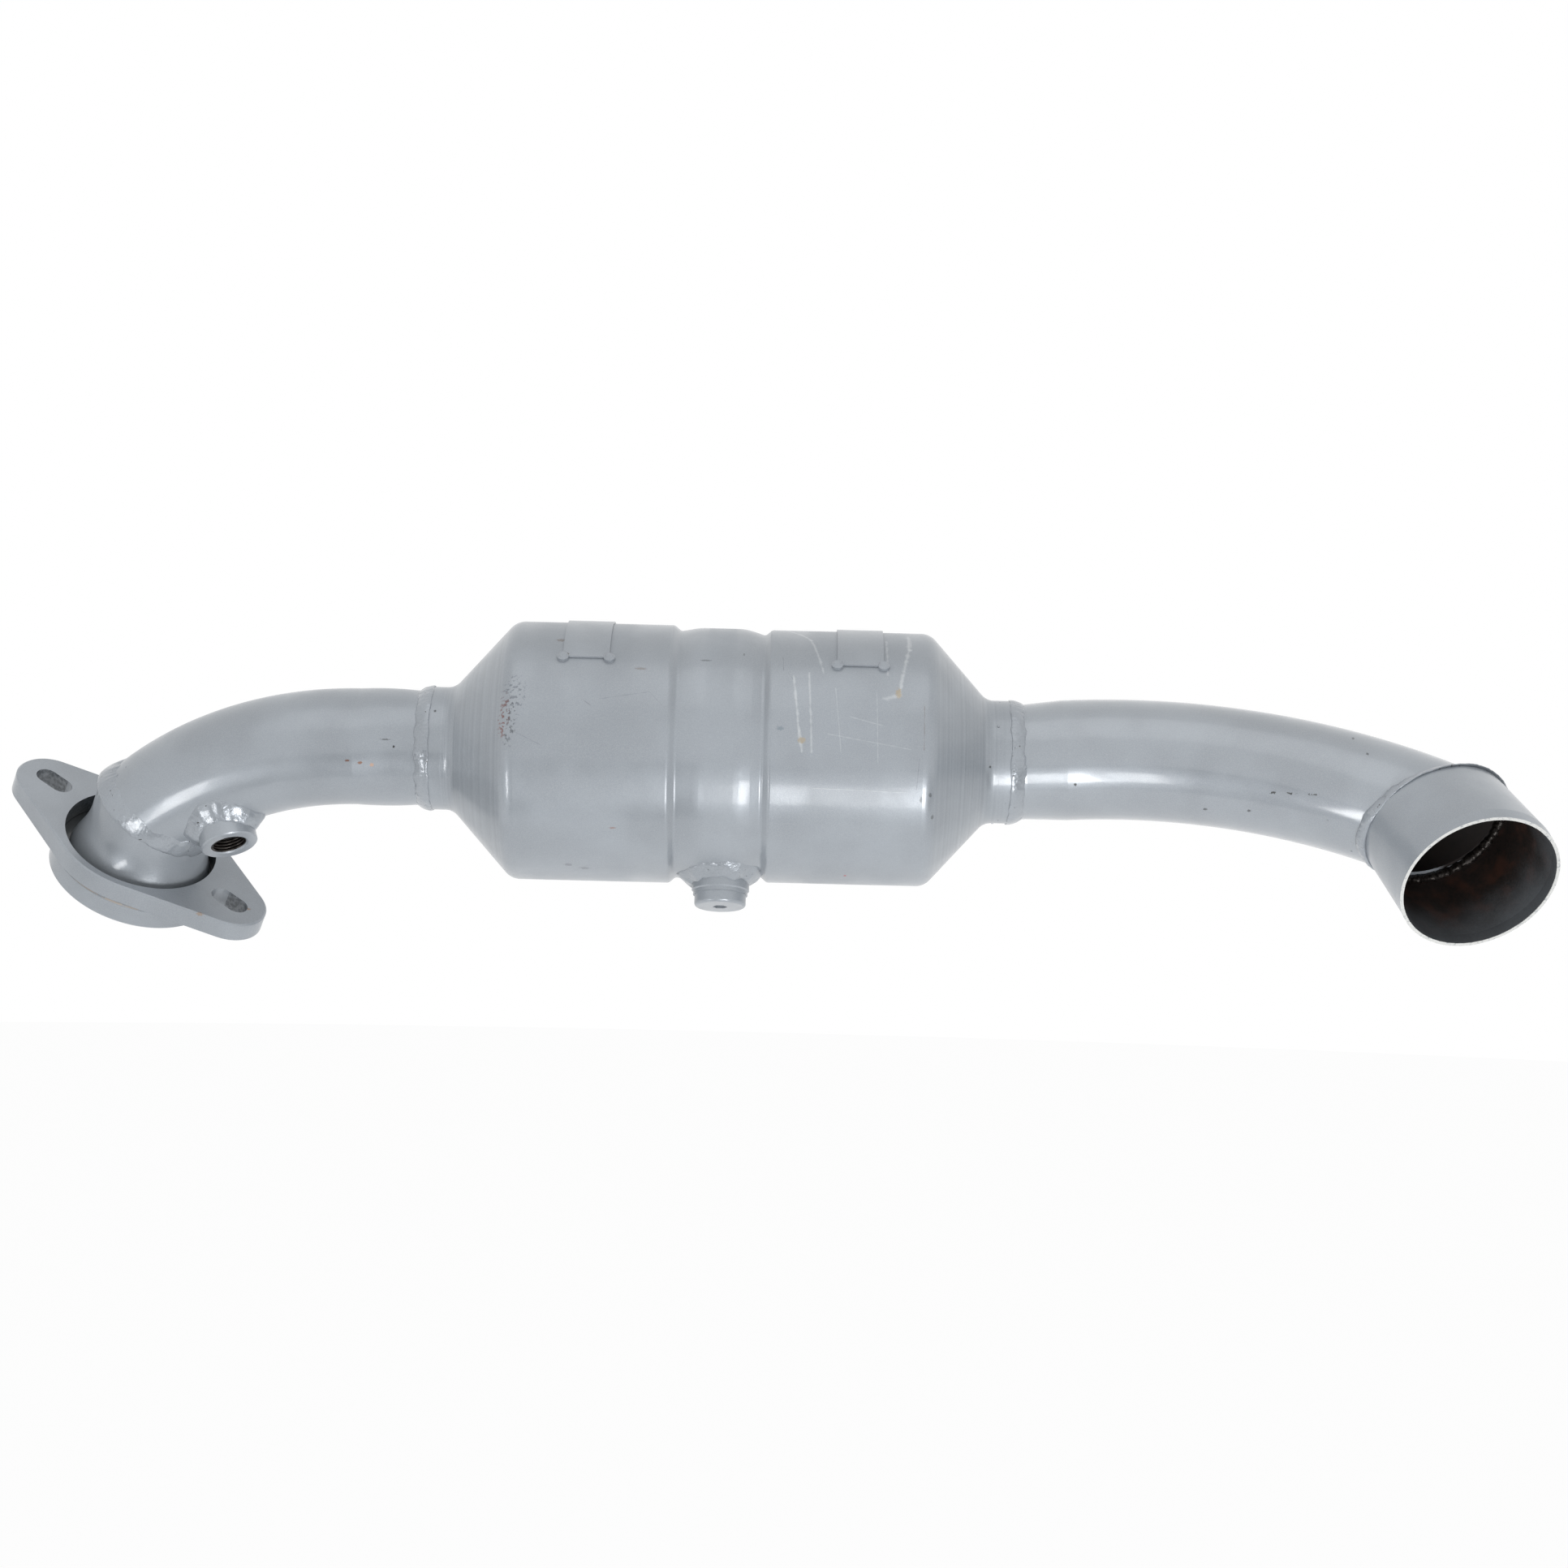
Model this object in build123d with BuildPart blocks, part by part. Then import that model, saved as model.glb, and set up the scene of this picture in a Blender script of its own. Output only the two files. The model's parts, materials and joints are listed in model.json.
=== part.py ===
from build123d import *
from math import cos, radians, sin, tan
import os

# A round catalytic converter with a loose two-bolt inlet flange, millimetres.
# The gas path starts at the inlet's sealing face, climbs through a bell-mouthed
# neck and an elbow on to the body axis, passes two ceramic bricks, and leaves
# through a long bend into a cuff that is oval at its seam and round at its mouth.
# The origin is the centre of the inlet's sealing face. The body axis runs along
# +X towards the outlet, and +Z is up, with the plugged sensor boss underneath.
# A roll is an angle about the body axis, from +Z towards -Y. A turn is the angle
# of a heading away from +X.

# Tube and sheet stock
pipe_od = 57.15
pipe_wall = 1.6
shell_wall = 1.5
slip_clearance = 0.4

# Seat ring and neck, measured along the inlet's own axis from the sealing face
inlet_turn = 69.8
inlet_roll = 31.8
ring_od = 84.0
ring_thickness = 10.5
ring_fit = 0.1
neck_length = 42.0
neck_skirt_od = 69.0
neck_top_od = 58.6
neck_recess = 2.5
bell_start = 12.0
bell_end = 25.0
bell_foot_fillet = 12.0
bell_top_fillet = 40.0

# Loose flange
flange_thickness = 9.5
flange_bore = 74.4
flange_float = 0.4
flange_offset = 2.0
flange_half_width = 41.5
bolt_spacing = 110.0
ear_radius = 18.5
slot_width = 11.2
slot_length = 19.5
ear_angle = -27.5
plate_edge_break = 0.8

# Elbow between the neck and the body, pressed a little oval in its bend
kink_turn = 29.3
elbow_radius = 153.6
elbow_height = 54.0
elbow_width = 58.4
inlet_run = 32.7
round_run = 14.0
swage_run = 13.0
socket_depth = 6.0
mitre_allowance = 9.0

# Converter body, with the inlet drum's radius a step over the mean and the outlet drum's under
collar_length = 12.9
collar_od = 58.4
drum_od = 121.3
drum_step = 0.6
drum_length = 195.6
cone_angle = 48.0
cone_fillet = 8.0
drum_fillet = 9.0
rib_span = 40.0
rib_depth = 2.7
rib_side = 3.2
rib_crest_fillet = 2.5
rib_valley_fillet = 2.0
band_shoulder = 9.0
band_drop = 0.4
band_fillet = 25.0

# Ceramic bricks in their mats, sized to fill the drums, each clear of its drum's end
mat_thickness = 6.3
brick_gap = 47.0
brick_end_margin = 4.3
brick_od = drum_od - 2 * (shell_wall + mat_thickness)
brick_length = (drum_length - brick_gap) / 2 - brick_end_margin
mat_margin = 2.5

# Sensor bosses, tapped M18 x 1.5 above a plain relief as wide as the hole in the wall
boss_od = 27.0
tap_radius = 8.19
tap_mouth_chamfer = 0.8
tap_relief = 1.0
boss_edge_break = 0.6
wall_hole_radius = 10.0
hole_reach = 12.0
inlet_boss_turn = 27.5
inlet_boss_roll = -52.0
inlet_boss_height = 10.0
inlet_boss_foot = 6.0
inlet_skirt_od = 35.0
band_boss_place = 1.7
band_boss_roll = 165.0
band_boss_height = 6.5
band_boss_foot = 4.0
band_skirt_od = 39.0
skirt_rise = 4.0
skirt_top_lip = 0.4

# Plug in the lower boss
plug_shank_length = 9.0
plug_shank_clearance = 0.05
plug_collar_od = 25.6
plug_collar_thickness = 1.6
plug_head_od = 24.2
plug_head_height = 5.6
plug_head_fillet = 1.5
socket_across_flats = 6.0
socket_depth_in_plug = 3.2

# Tabs wrapped over the top of each drum, with their middles inset from its end
tab_width = 21.5
tab_thickness = 0.9
tab_lift = 0.1
tab_front_roll = 45.5
tab_back_roll = -19.0
front_tab_inset = 35.3
rear_tab_inset = 33.3
tab_place = {-1: front_tab_inset - drum_length / 2, 1: drum_length / 2 - rear_tab_inset}
tack_radius = 2.7
tack_height = 1.5
tack_shoulder = 1.2
tack_sink = 0.5

# Outlet pipe
outlet_tilt = 4.1
outlet_tilt_roll = 19.4
outlet_swage_start = 5.0
outlet_run = 24.0
outlet_turn = 38.1
outlet_roll = 122.9
outlet_radius = 263.0

# Outlet cuff
seam_turn = 70.9
seam_roll = 125.1
cuff_turn = 73.2
cuff_roll = 125.9
mouth_turn = 79.2
mouth_roll = 128.0
cuff_length = 46.2
cuff_wall = 1.5
cuff_oval_length = 72.0
cuff_oval_width = 64.0
cuff_mouth_od = 74.4
cuff_sized_length = 6.0

# Weld beads, each with its section's radius and how far its centre is sunk
collar_bead = 3.2
collar_bead_sink = 2.9
neck_bead = 3.2
neck_bead_sink = 1.8
cuff_bead = 4.2
cuff_bead_rise = 0.4
cuff_bead_toe = 1.0
ring_bead = 1.9


def radial(roll):
    """The unit direction across the body axis at a roll."""
    return Vector(0, -sin(radians(roll)), cos(radians(roll)))


def heading(turn, roll):
    """The unit direction that is a turn away from +X, on the side of a roll."""
    return Vector(cos(radians(turn)), 0, 0) + radial(roll) * sin(radians(turn))


# The inlet route: straight through the neck, a kink at the mitre, then one bend
elbow_turn = inlet_turn - kink_turn
inlet_heading = heading(inlet_turn, inlet_roll)
bend_normal = inlet_heading.cross(Vector(1, 0, 0)).normalized()
inlet_plane = Plane(origin=(0, 0, 0), x_dir=bend_normal.cross(inlet_heading), z_dir=inlet_heading)
inlet_axis = Axis((0, 0, 0), inlet_heading)
mitre_centre = inlet_heading * neck_length
mitre_plane = Plane(
    origin=mitre_centre,
    x_dir=bend_normal,
    z_dir=heading(inlet_turn - kink_turn / 2, inlet_roll),
)
elbow_plane = Plane(origin=mitre_centre, x_dir=heading(elbow_turn, inlet_roll), z_dir=bend_normal)
elbow_end = elbow_plane.from_local_coords((
    elbow_radius * sin(radians(elbow_turn)),
    elbow_radius * (1 - cos(radians(elbow_turn))),
))

# The body's frame, with local x along the body axis and local y up
cone_run = (drum_od - collar_od) / 2 / tan(radians(cone_angle))
body_length = drum_length + 2 * (cone_run + collar_length)
body_centre = elbow_end + Vector(inlet_run + body_length / 2, 0, 0)
body_plane = Plane(origin=body_centre, x_dir=(1, 0, 0), z_dir=(0, -1, 0))
body_axis = Axis(body_centre, (1, 0, 0))
collar_bore = collar_od - 2 * shell_wall
swaged_od = collar_bore - 2 * slip_clearance

# The outlet route: out of the collar at a slight tilt, one long bend, the oblique seam
outlet_start = body_centre + Vector(body_length / 2, 0, 0)
outlet_lead = heading(outlet_tilt, outlet_tilt_roll)
outlet_heading = heading(outlet_turn, outlet_roll)
outlet_bend_turn = outlet_lead.get_angle(outlet_heading)
outlet_plane = Plane(
    origin=outlet_start,
    x_dir=outlet_lead,
    z_dir=outlet_lead.cross(outlet_heading).normalized(),
)
seam_centre = outlet_plane.from_local_coords((
    outlet_run + outlet_radius * sin(radians(outlet_bend_turn)),
    outlet_radius * (1 - cos(radians(outlet_bend_turn))),
))
seam_heading = heading(seam_turn, seam_roll)
seam_long_way = (outlet_heading - seam_heading * outlet_heading.dot(seam_heading)).normalized()
seam_plane = Plane(origin=seam_centre, x_dir=seam_long_way, z_dir=seam_heading)
mouth_centre = seam_centre + heading(cuff_turn, cuff_roll) * cuff_length
mouth_heading = heading(mouth_turn, mouth_roll)
mouth_long_way = (seam_long_way - mouth_heading * seam_long_way.dot(mouth_heading)).normalized()
mouth_plane = Plane(origin=mouth_centre, x_dir=mouth_long_way, z_dir=mouth_heading)


def cross_section(distance):
    """The plane across the body axis at a distance from the body's centre."""
    return Plane(origin=body_centre + Vector(distance, 0, 0), x_dir=(0, -1, 0), z_dir=(1, 0, 0))


def elbow_section(distance):
    """The same plane, with local x along the elbow's wide way."""
    return Plane(origin=cross_section(distance).origin, x_dir=bend_normal, z_dir=(1, 0, 0))


def drum_radius(side):
    """The radius of the inlet drum for -1, of the outlet drum for 1, or their mean for 0."""
    return drum_od / 2 - side * drum_step


def body_outline_points(side):
    """The outside corners of the spun body on one side, from the mid band to the collar."""
    crest = drum_radius(side)
    valley = crest - rib_depth
    band = drum_radius(0) - band_drop
    rib = rib_span / 2
    drum_end = drum_length / 2
    corners = [
        (rib - band_shoulder, band),
        (rib, valley),
        (rib + rib_side, crest),
        (drum_end, crest),
        (drum_end + (crest - collar_od / 2) / tan(radians(cone_angle)), collar_od / 2),
        (body_length / 2, collar_od / 2),
    ]
    return [(side * x, y) for x, y in corners]


def bead_ring(plane, ring_radius, bead_radius):
    """A round weld bead about a plane's normal, before the pieces are cut from it."""
    profile_plane = Plane(origin=plane.origin, x_dir=plane.x_dir, z_dir=-plane.y_dir)
    with BuildPart() as bead:
        with BuildSketch(profile_plane):
            with Locations((ring_radius, 0)):
                Circle(bead_radius)
        revolve(axis=Axis(plane.origin, plane.z_dir))
    return bead.part


def boss_solid(plane, foot, height):
    """A tapped boss on a plane at the wall's crest, reaching down by foot to be notched."""
    with BuildPart() as boss:
        with BuildSketch(plane.offset(-foot)):
            Circle(boss_od / 2)
        extrude(amount=foot + height)
        top = boss.faces().sort_by(Axis(plane.origin, plane.z_dir))[-1]
        chamfer(top.edges(), boss_edge_break)
        with BuildSketch(plane.offset(-foot)):
            Circle(tap_radius)
        extrude(amount=foot + height, mode=Mode.SUBTRACT)
        with BuildSketch(plane.offset(-foot)):
            Circle(wall_hole_radius)
        extrude(amount=foot + tap_relief, mode=Mode.SUBTRACT)
        mouth = boss.edges().filter_by(GeomType.CIRCLE).group_by(Axis(plane.origin, plane.z_dir))[-1]
        chamfer(mouth.sort_by(SortBy.RADIUS)[0], tap_mouth_chamfer)
    return boss.part


def boss_weld_solid(plane, foot, skirt_od):
    """A flared weld skirt about a boss, before the wall is cut from it."""
    with BuildPart() as skirt:
        with BuildSketch(plane.offset(-foot)):
            Circle(skirt_od / 2)
        with BuildSketch(plane.offset(skirt_rise)):
            Circle(boss_od / 2 + skirt_top_lip)
        loft()
        with BuildSketch(plane.offset(-foot)):
            Circle(boss_od / 2)
        extrude(amount=foot + skirt_rise, mode=Mode.SUBTRACT)
    return skirt.part


# Seat ring, which carries the sealing face and keeps the flange on the neck
ring_bore = neck_skirt_od + 2 * ring_fit
with BuildPart() as seat_ring:
    with BuildSketch(inlet_plane):
        Circle(ring_od / 2)
        Circle(ring_bore / 2, mode=Mode.SUBTRACT)
    extrude(amount=ring_thickness)
    outer_edges = seat_ring.edges().filter_by(GeomType.CIRCLE).sort_by(SortBy.RADIUS)[-2:]
    chamfer(outer_edges, plate_edge_break)

# Neck, a bell-mouthed tube cut to the mitre at its top
neck_profile_plane = Plane(origin=(0, 0, 0), x_dir=inlet_plane.x_dir, z_dir=-inlet_plane.y_dir)
neck_outline = [
    (neck_skirt_od / 2, neck_recess),
    (neck_skirt_od / 2, bell_start),
    (neck_top_od / 2, bell_end),
    (neck_top_od / 2, neck_length + mitre_allowance),
]
neck_fillets = [bell_foot_fillet, bell_top_fillet]
with BuildPart() as neck_form:
    with BuildSketch(neck_profile_plane):
        with BuildLine():
            FilletPolyline(*neck_outline, radius=neck_fillets)
            Polyline(
                neck_outline[-1],
                (0, neck_length + mitre_allowance),
                (0, neck_recess),
                neck_outline[0],
            )
        make_face()
    revolve(axis=inlet_axis)
    split(bisect_by=mitre_plane, keep=Keep.BOTTOM)

with BuildPart() as inlet_neck:
    with BuildSketch(neck_profile_plane):
        with BuildLine():
            FilletPolyline(*neck_outline, radius=neck_fillets)
            offset(amount=pipe_wall, side=Side.LEFT)
        make_face()
    revolve(axis=inlet_axis)
    split(bisect_by=mitre_plane, keep=Keep.BOTTOM)

# Fillet weld inside the ring, which joins the neck's end to the ring's bore
with BuildPart() as ring_weld:
    with BuildSketch(neck_profile_plane):
        with BuildLine():
            Polyline(
                (ring_bore / 2, neck_recess),
                (neck_skirt_od / 2 - pipe_wall, neck_recess),
                (ring_bore / 2, neck_recess - ring_bead),
                close=True,
            )
        make_face()
    revolve(axis=inlet_axis)

# Loose flange, free to turn between the ring and the elbow, lying off the neck's centre
bolt_line = (
    inlet_plane.x_dir * cos(radians(ear_angle)) + inlet_plane.y_dir * sin(radians(ear_angle))
)
flange_plane = Plane(
    origin=inlet_heading * (ring_thickness + flange_float) - inlet_plane.x_dir * flange_offset,
    x_dir=bolt_line,
    z_dir=inlet_heading,
)
with BuildPart() as inlet_flange:
    with BuildSketch(flange_plane):
        Circle(flange_half_width)
        with Locations((bolt_spacing / 2, 0), (-bolt_spacing / 2, 0)):
            Circle(ear_radius)
        make_hull()
        Circle(flange_bore / 2, mode=Mode.SUBTRACT)
        with Locations((bolt_spacing / 2, 0), (-bolt_spacing / 2, 0)):
            SlotCenterToCenter(slot_length - slot_width, slot_width, mode=Mode.SUBTRACT)
    extrude(amount=flange_thickness)
    top_face = inlet_flange.faces().sort_by(inlet_axis)[-1]
    chamfer(top_face.outer_wire().edges(), plate_edge_break)


def elbow_solid(inset):
    """The elbow's outside for no inset, or its bore for an inset of one wall."""
    end_of_bend = -body_length / 2 - inlet_run
    swage_start = end_of_bend + round_run
    socket_start = swage_start + swage_run
    with BuildPart() as tube:
        with BuildLine(elbow_plane) as bend:
            lead = Line((-mitre_allowance, 0), (0, 0))
            JernArc(lead @ 1, lead % 1, elbow_radius, elbow_turn)
        with BuildSketch(Plane(origin=bend.line @ 0, x_dir=bend_normal, z_dir=bend.line % 0)):
            Ellipse(elbow_width / 2 - inset, elbow_height / 2 - inset)
        sweep()
        with BuildSketch(elbow_section(end_of_bend)):
            Ellipse(elbow_width / 2 - inset, elbow_height / 2 - inset)
        with BuildSketch(elbow_section(swage_start)):
            Circle((pipe_od + swaged_od) / 4 - inset)
        with BuildSketch(elbow_section(socket_start)):
            Circle(swaged_od / 2 - inset)
        loft()
        with BuildSketch(elbow_section(socket_start)):
            Circle(swaged_od / 2 - inset)
        extrude(amount=inlet_run - round_run - swage_run + socket_depth)
        split(bisect_by=mitre_plane, keep=Keep.TOP)
    return tube.part


# Inlet boss place, on the side of the elbow, and its hole in the elbow's wall
boss_heading = heading(inlet_boss_turn, inlet_roll)
boss_inward = bend_normal.cross(boss_heading)
boss_turned = elbow_turn - inlet_boss_turn
boss_station = elbow_plane.from_local_coords((
    elbow_radius * sin(radians(boss_turned)),
    elbow_radius * (1 - cos(radians(boss_turned))),
))
boss_direction = (
    boss_inward * cos(radians(inlet_boss_roll)) + bend_normal * sin(radians(inlet_boss_roll))
)
elbow_crest = (
    (elbow_height / 2 * cos(radians(inlet_boss_roll))) ** 2
    + (elbow_width / 2 * sin(radians(inlet_boss_roll))) ** 2
) ** 0.5
inlet_boss_plane = Plane(
    origin=boss_station + boss_direction * elbow_crest,
    x_dir=boss_heading,
    z_dir=boss_direction,
)

elbow_form = elbow_solid(0)
with BuildPart() as inlet_pipe:
    add(elbow_form)
    add(elbow_solid(pipe_wall), mode=Mode.SUBTRACT)
    with BuildSketch(inlet_boss_plane.offset(-hole_reach)):
        Circle(wall_hole_radius)
    extrude(amount=2 * hole_reach, mode=Mode.SUBTRACT)

with BuildPart() as inlet_bung:
    add(boss_solid(inlet_boss_plane, inlet_boss_foot, inlet_boss_height))
    add(elbow_form, mode=Mode.SUBTRACT)

with BuildPart() as inlet_bung_weld:
    add(boss_weld_solid(inlet_boss_plane, inlet_boss_foot, inlet_skirt_od))
    add(elbow_form, mode=Mode.SUBTRACT)

with BuildPart() as neck_weld:
    add(bead_ring(mitre_plane, neck_top_od / 2 - neck_bead_sink, neck_bead))
    add(neck_form.part, mode=Mode.SUBTRACT)
    add(elbow_form, mode=Mode.SUBTRACT)

# Converter shell, spun in one piece from collar to collar
body_points = body_outline_points(-1)[::-1] + body_outline_points(1)
right_fillets = [band_fillet, rib_valley_fillet, rib_crest_fillet, drum_fillet, cone_fillet]
body_fillets = right_fillets[::-1] + right_fillets
with BuildPart() as shell_form:
    with BuildSketch(body_plane):
        with BuildLine():
            FilletPolyline(*body_points, radius=body_fillets)
            Polyline(
                body_points[-1],
                (body_length / 2, 0),
                (-body_length / 2, 0),
                body_points[0],
            )
        make_face()
    revolve(axis=body_axis)

band_boss_direction = radial(band_boss_roll)
band_boss_plane = Plane(
    origin=body_centre + Vector(band_boss_place, 0, 0)
    + band_boss_direction * (drum_radius(0) - band_drop),
    x_dir=(1, 0, 0),
    z_dir=band_boss_direction,
)
with BuildPart() as converter_shell:
    with BuildSketch(body_plane):
        with BuildLine():
            FilletPolyline(*body_points, radius=body_fillets)
            offset(amount=shell_wall, side=Side.RIGHT)
        make_face()
    revolve(axis=body_axis)
    with BuildSketch(band_boss_plane.offset(-hole_reach)):
        Circle(wall_hole_radius)
    extrude(amount=2 * hole_reach, mode=Mode.SUBTRACT)

# Sensor boss at the gap between the bricks, with its weld and its plug
with BuildPart() as band_bung:
    add(boss_solid(band_boss_plane, band_boss_foot, band_boss_height))
    add(shell_form.part, mode=Mode.SUBTRACT)

with BuildPart() as band_bung_weld:
    add(boss_weld_solid(band_boss_plane, band_boss_foot, band_skirt_od))
    add(shell_form.part, mode=Mode.SUBTRACT)

boss_top = band_boss_plane.offset(band_boss_height)
collar_top = boss_top.offset(plug_collar_thickness)
head_top = collar_top.offset(plug_head_height)
with BuildPart() as plug:
    with BuildSketch(boss_top):
        Circle(plug_collar_od / 2)
    extrude(amount=plug_collar_thickness)
    with BuildSketch(collar_top):
        Circle(plug_head_od / 2)
    extrude(amount=plug_head_height)
    head_face = plug.faces().sort_by(Axis(boss_top.origin, band_boss_direction))[-1]
    fillet(head_face.edges(), plug_head_fillet)
    with BuildSketch(boss_top):
        Circle(tap_radius - plug_shank_clearance)
    extrude(amount=-plug_shank_length)
    with BuildSketch(head_top):
        RegularPolygon(socket_across_flats / 2, 6, major_radius=False)
    extrude(amount=-socket_depth_in_plug, mode=Mode.SUBTRACT)


# Bricks and mats, one of each on the inlet side for -1 and the outlet side for 1
def brick_start(side):
    """The inlet-side end of a brick, as a distance from the body's centre."""
    return side * (brick_gap + brick_length) / 2 - brick_length / 2


def brick(side):
    """A ceramic brick."""
    with BuildPart() as piece:
        with BuildSketch(cross_section(brick_start(side))):
            Circle(brick_od / 2)
        extrude(amount=brick_length)
    return piece.part


def mat(side):
    """The mat that holds a brick in the shell, a little shorter than the brick."""
    with BuildPart() as piece:
        with BuildSketch(cross_section(brick_start(side) + mat_margin)):
            Circle(drum_radius(side) - shell_wall)
            Circle(brick_od / 2, mode=Mode.SUBTRACT)
        extrude(amount=brick_length - 2 * mat_margin)
    return piece.part


# Outlet pipe, swaged into the collar, with one long bend to the oblique seam
def outlet_solid(inset):
    """The outlet pipe's outside for no inset, or its bore for an inset of one wall."""
    with BuildPart() as tube:
        with BuildLine(outlet_plane):
            curve = JernArc((outlet_run, 0), (1, 0), outlet_radius, outlet_bend_turn)
            Line(curve @ 1, curve @ 1 + curve % 1 * pipe_od)
        full_plane = Plane(origin=curve @ 0, x_dir=outlet_plane.z_dir, z_dir=outlet_lead)
        swage_plane = full_plane.offset(outlet_swage_start - outlet_run)
        with BuildSketch(full_plane):
            Circle(pipe_od / 2 - inset)
        sweep()
        with BuildSketch(full_plane):
            Circle(pipe_od / 2 - inset)
        with BuildSketch(swage_plane):
            Circle(swaged_od / 2 - inset)
        loft()
        with BuildSketch(swage_plane):
            Circle(swaged_od / 2 - inset)
        extrude(amount=-outlet_swage_start - socket_depth)
        split(bisect_by=seam_plane, keep=Keep.BOTTOM)
    return tube.part


outlet_form = outlet_solid(0)
with BuildPart() as outlet_pipe:
    add(outlet_form)
    add(outlet_solid(pipe_wall), mode=Mode.SUBTRACT)


# Outlet cuff, drawn from the seam's oval to a round, sized mouth, and its weld
def cuff_solid(inset):
    """The cuff's outside for no inset, or its bore for an inset of one wall."""
    sized_plane = mouth_plane.offset(-cuff_sized_length)
    with BuildPart() as form:
        with BuildSketch(seam_plane):
            Ellipse(cuff_oval_length / 2 - inset, cuff_oval_width / 2 - inset)
        with BuildSketch(sized_plane):
            Circle(cuff_mouth_od / 2 - inset)
        loft()
        with BuildSketch(sized_plane):
            Circle(cuff_mouth_od / 2 - inset)
        extrude(amount=cuff_sized_length)
    return form.part


with BuildPart() as outlet_cuff:
    add(cuff_solid(0))
    add(cuff_solid(cuff_wall), mode=Mode.SUBTRACT)

seam_lean = radians(outlet_heading.get_angle(seam_heading))
with BuildPart() as cuff_weld:
    with BuildSketch(seam_plane):
        Ellipse(cuff_oval_length / 2 + cuff_bead_rise, cuff_oval_width / 2 + cuff_bead_rise)
    with BuildSketch(seam_plane.offset(-cuff_bead)):
        with Locations((-cuff_bead * tan(seam_lean), 0)):
            Ellipse(pipe_od / 2 / cos(seam_lean) + cuff_bead_toe, pipe_od / 2 + cuff_bead_toe)
    loft()
    add(outlet_form, mode=Mode.SUBTRACT)

# Welds round the two collars
collar_bead_radius = collar_od / 2 - collar_bead_sink
with BuildPart() as inlet_body_weld:
    add(bead_ring(cross_section(-body_length / 2), collar_bead_radius, collar_bead))
    add(shell_form.part, mode=Mode.SUBTRACT)
    add(elbow_form, mode=Mode.SUBTRACT)

with BuildPart() as outlet_body_weld:
    add(bead_ring(cross_section(body_length / 2), collar_bead_radius, collar_bead))
    add(shell_form.part, mode=Mode.SUBTRACT)
    add(outlet_form, mode=Mode.SUBTRACT)


# Tabs, thin plates bent over the top of each drum, held by a tack at each corner
def tab(side, lift, thickness):
    """A curved plate over the inlet drum for -1, or over the outlet drum for 1."""
    start_plane = Plane(
        origin=body_centre,
        x_dir=(1, 0, 0),
        z_dir=Vector(1, 0, 0).cross(radial(tab_back_roll)),
    )
    with BuildPart() as plate:
        with BuildSketch(start_plane):
            with Locations((tab_place[side], drum_radius(side) + lift + thickness / 2)):
                Rectangle(tab_width, thickness)
        revolve(axis=body_axis, revolution_arc=tab_front_roll - tab_back_roll)
    return plate.part


def tack(side, end, roll, plate):
    """A domed tack weld over one corner of a tab, standing on the drum beside it."""
    normal = radial(roll)
    corner = body_centre + Vector(tab_place[side] + end, 0, 0) + normal * drum_radius(side)
    foot = Plane(origin=corner, x_dir=(1, 0, 0), z_dir=normal).offset(-tack_sink)
    with BuildPart() as drop:
        with BuildSketch(foot):
            Circle(tack_radius)
        extrude(amount=tack_sink + tab_lift + tab_thickness + tack_height)
        crown = drop.faces().sort_by(Axis(corner, normal))[-1]
        chamfer(crown.edges(), tack_shoulder)
        add(plate, mode=Mode.SUBTRACT)
        add(shell_form.part, mode=Mode.SUBTRACT)
    return drop.part


tacks = []
for side in tab_place:
    plate = tab(side, 0, tab_lift + tab_thickness)
    for end in (-tab_width / 2, tab_width / 2):
        for roll in (tab_front_roll, tab_back_roll):
            tacks.extend(tack(side, end, roll, plate).solids())

pieces = {
    "inlet_flange": inlet_flange.part,
    "seat_ring": seat_ring.part,
    "ring_weld": ring_weld.part,
    "inlet_neck": inlet_neck.part,
    "neck_weld": neck_weld.part,
    "inlet_pipe": inlet_pipe.part,
    "inlet_bung": inlet_bung.part,
    "inlet_bung_weld": inlet_bung_weld.part,
    "inlet_body_weld": inlet_body_weld.part,
    "converter_shell": converter_shell.part,
    "front_brick": brick(-1),
    "front_mat": mat(-1),
    "rear_brick": brick(1),
    "rear_mat": mat(1),
    "band_bung": band_bung.part,
    "band_bung_weld": band_bung_weld.part,
    "plug": plug.part,
    "front_tab": tab(-1, tab_lift, tab_thickness),
    "rear_tab": tab(1, tab_lift, tab_thickness),
    "tab_tacks": Compound(children=tacks),
    "outlet_body_weld": outlet_body_weld.part,
    "outlet_pipe": outlet_pipe.part,
    "cuff_weld": cuff_weld.part,
    "outlet_cuff": outlet_cuff.part,
}

os.makedirs("parts", exist_ok=True)
for name, solid in pieces.items():
    solid.label = name
    export_step(solid, f"parts/{name}.step")
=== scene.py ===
"""A painted catalytic converter, dressed for a product picture around its CAD model."""

import json
import math

import bmesh
import bpy
from bpy.props import FloatProperty, FloatVectorProperty, IntProperty, PointerProperty
from mathutils import Matrix, Vector, noise
from mathutils.bvhtree import BVHTree


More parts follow.
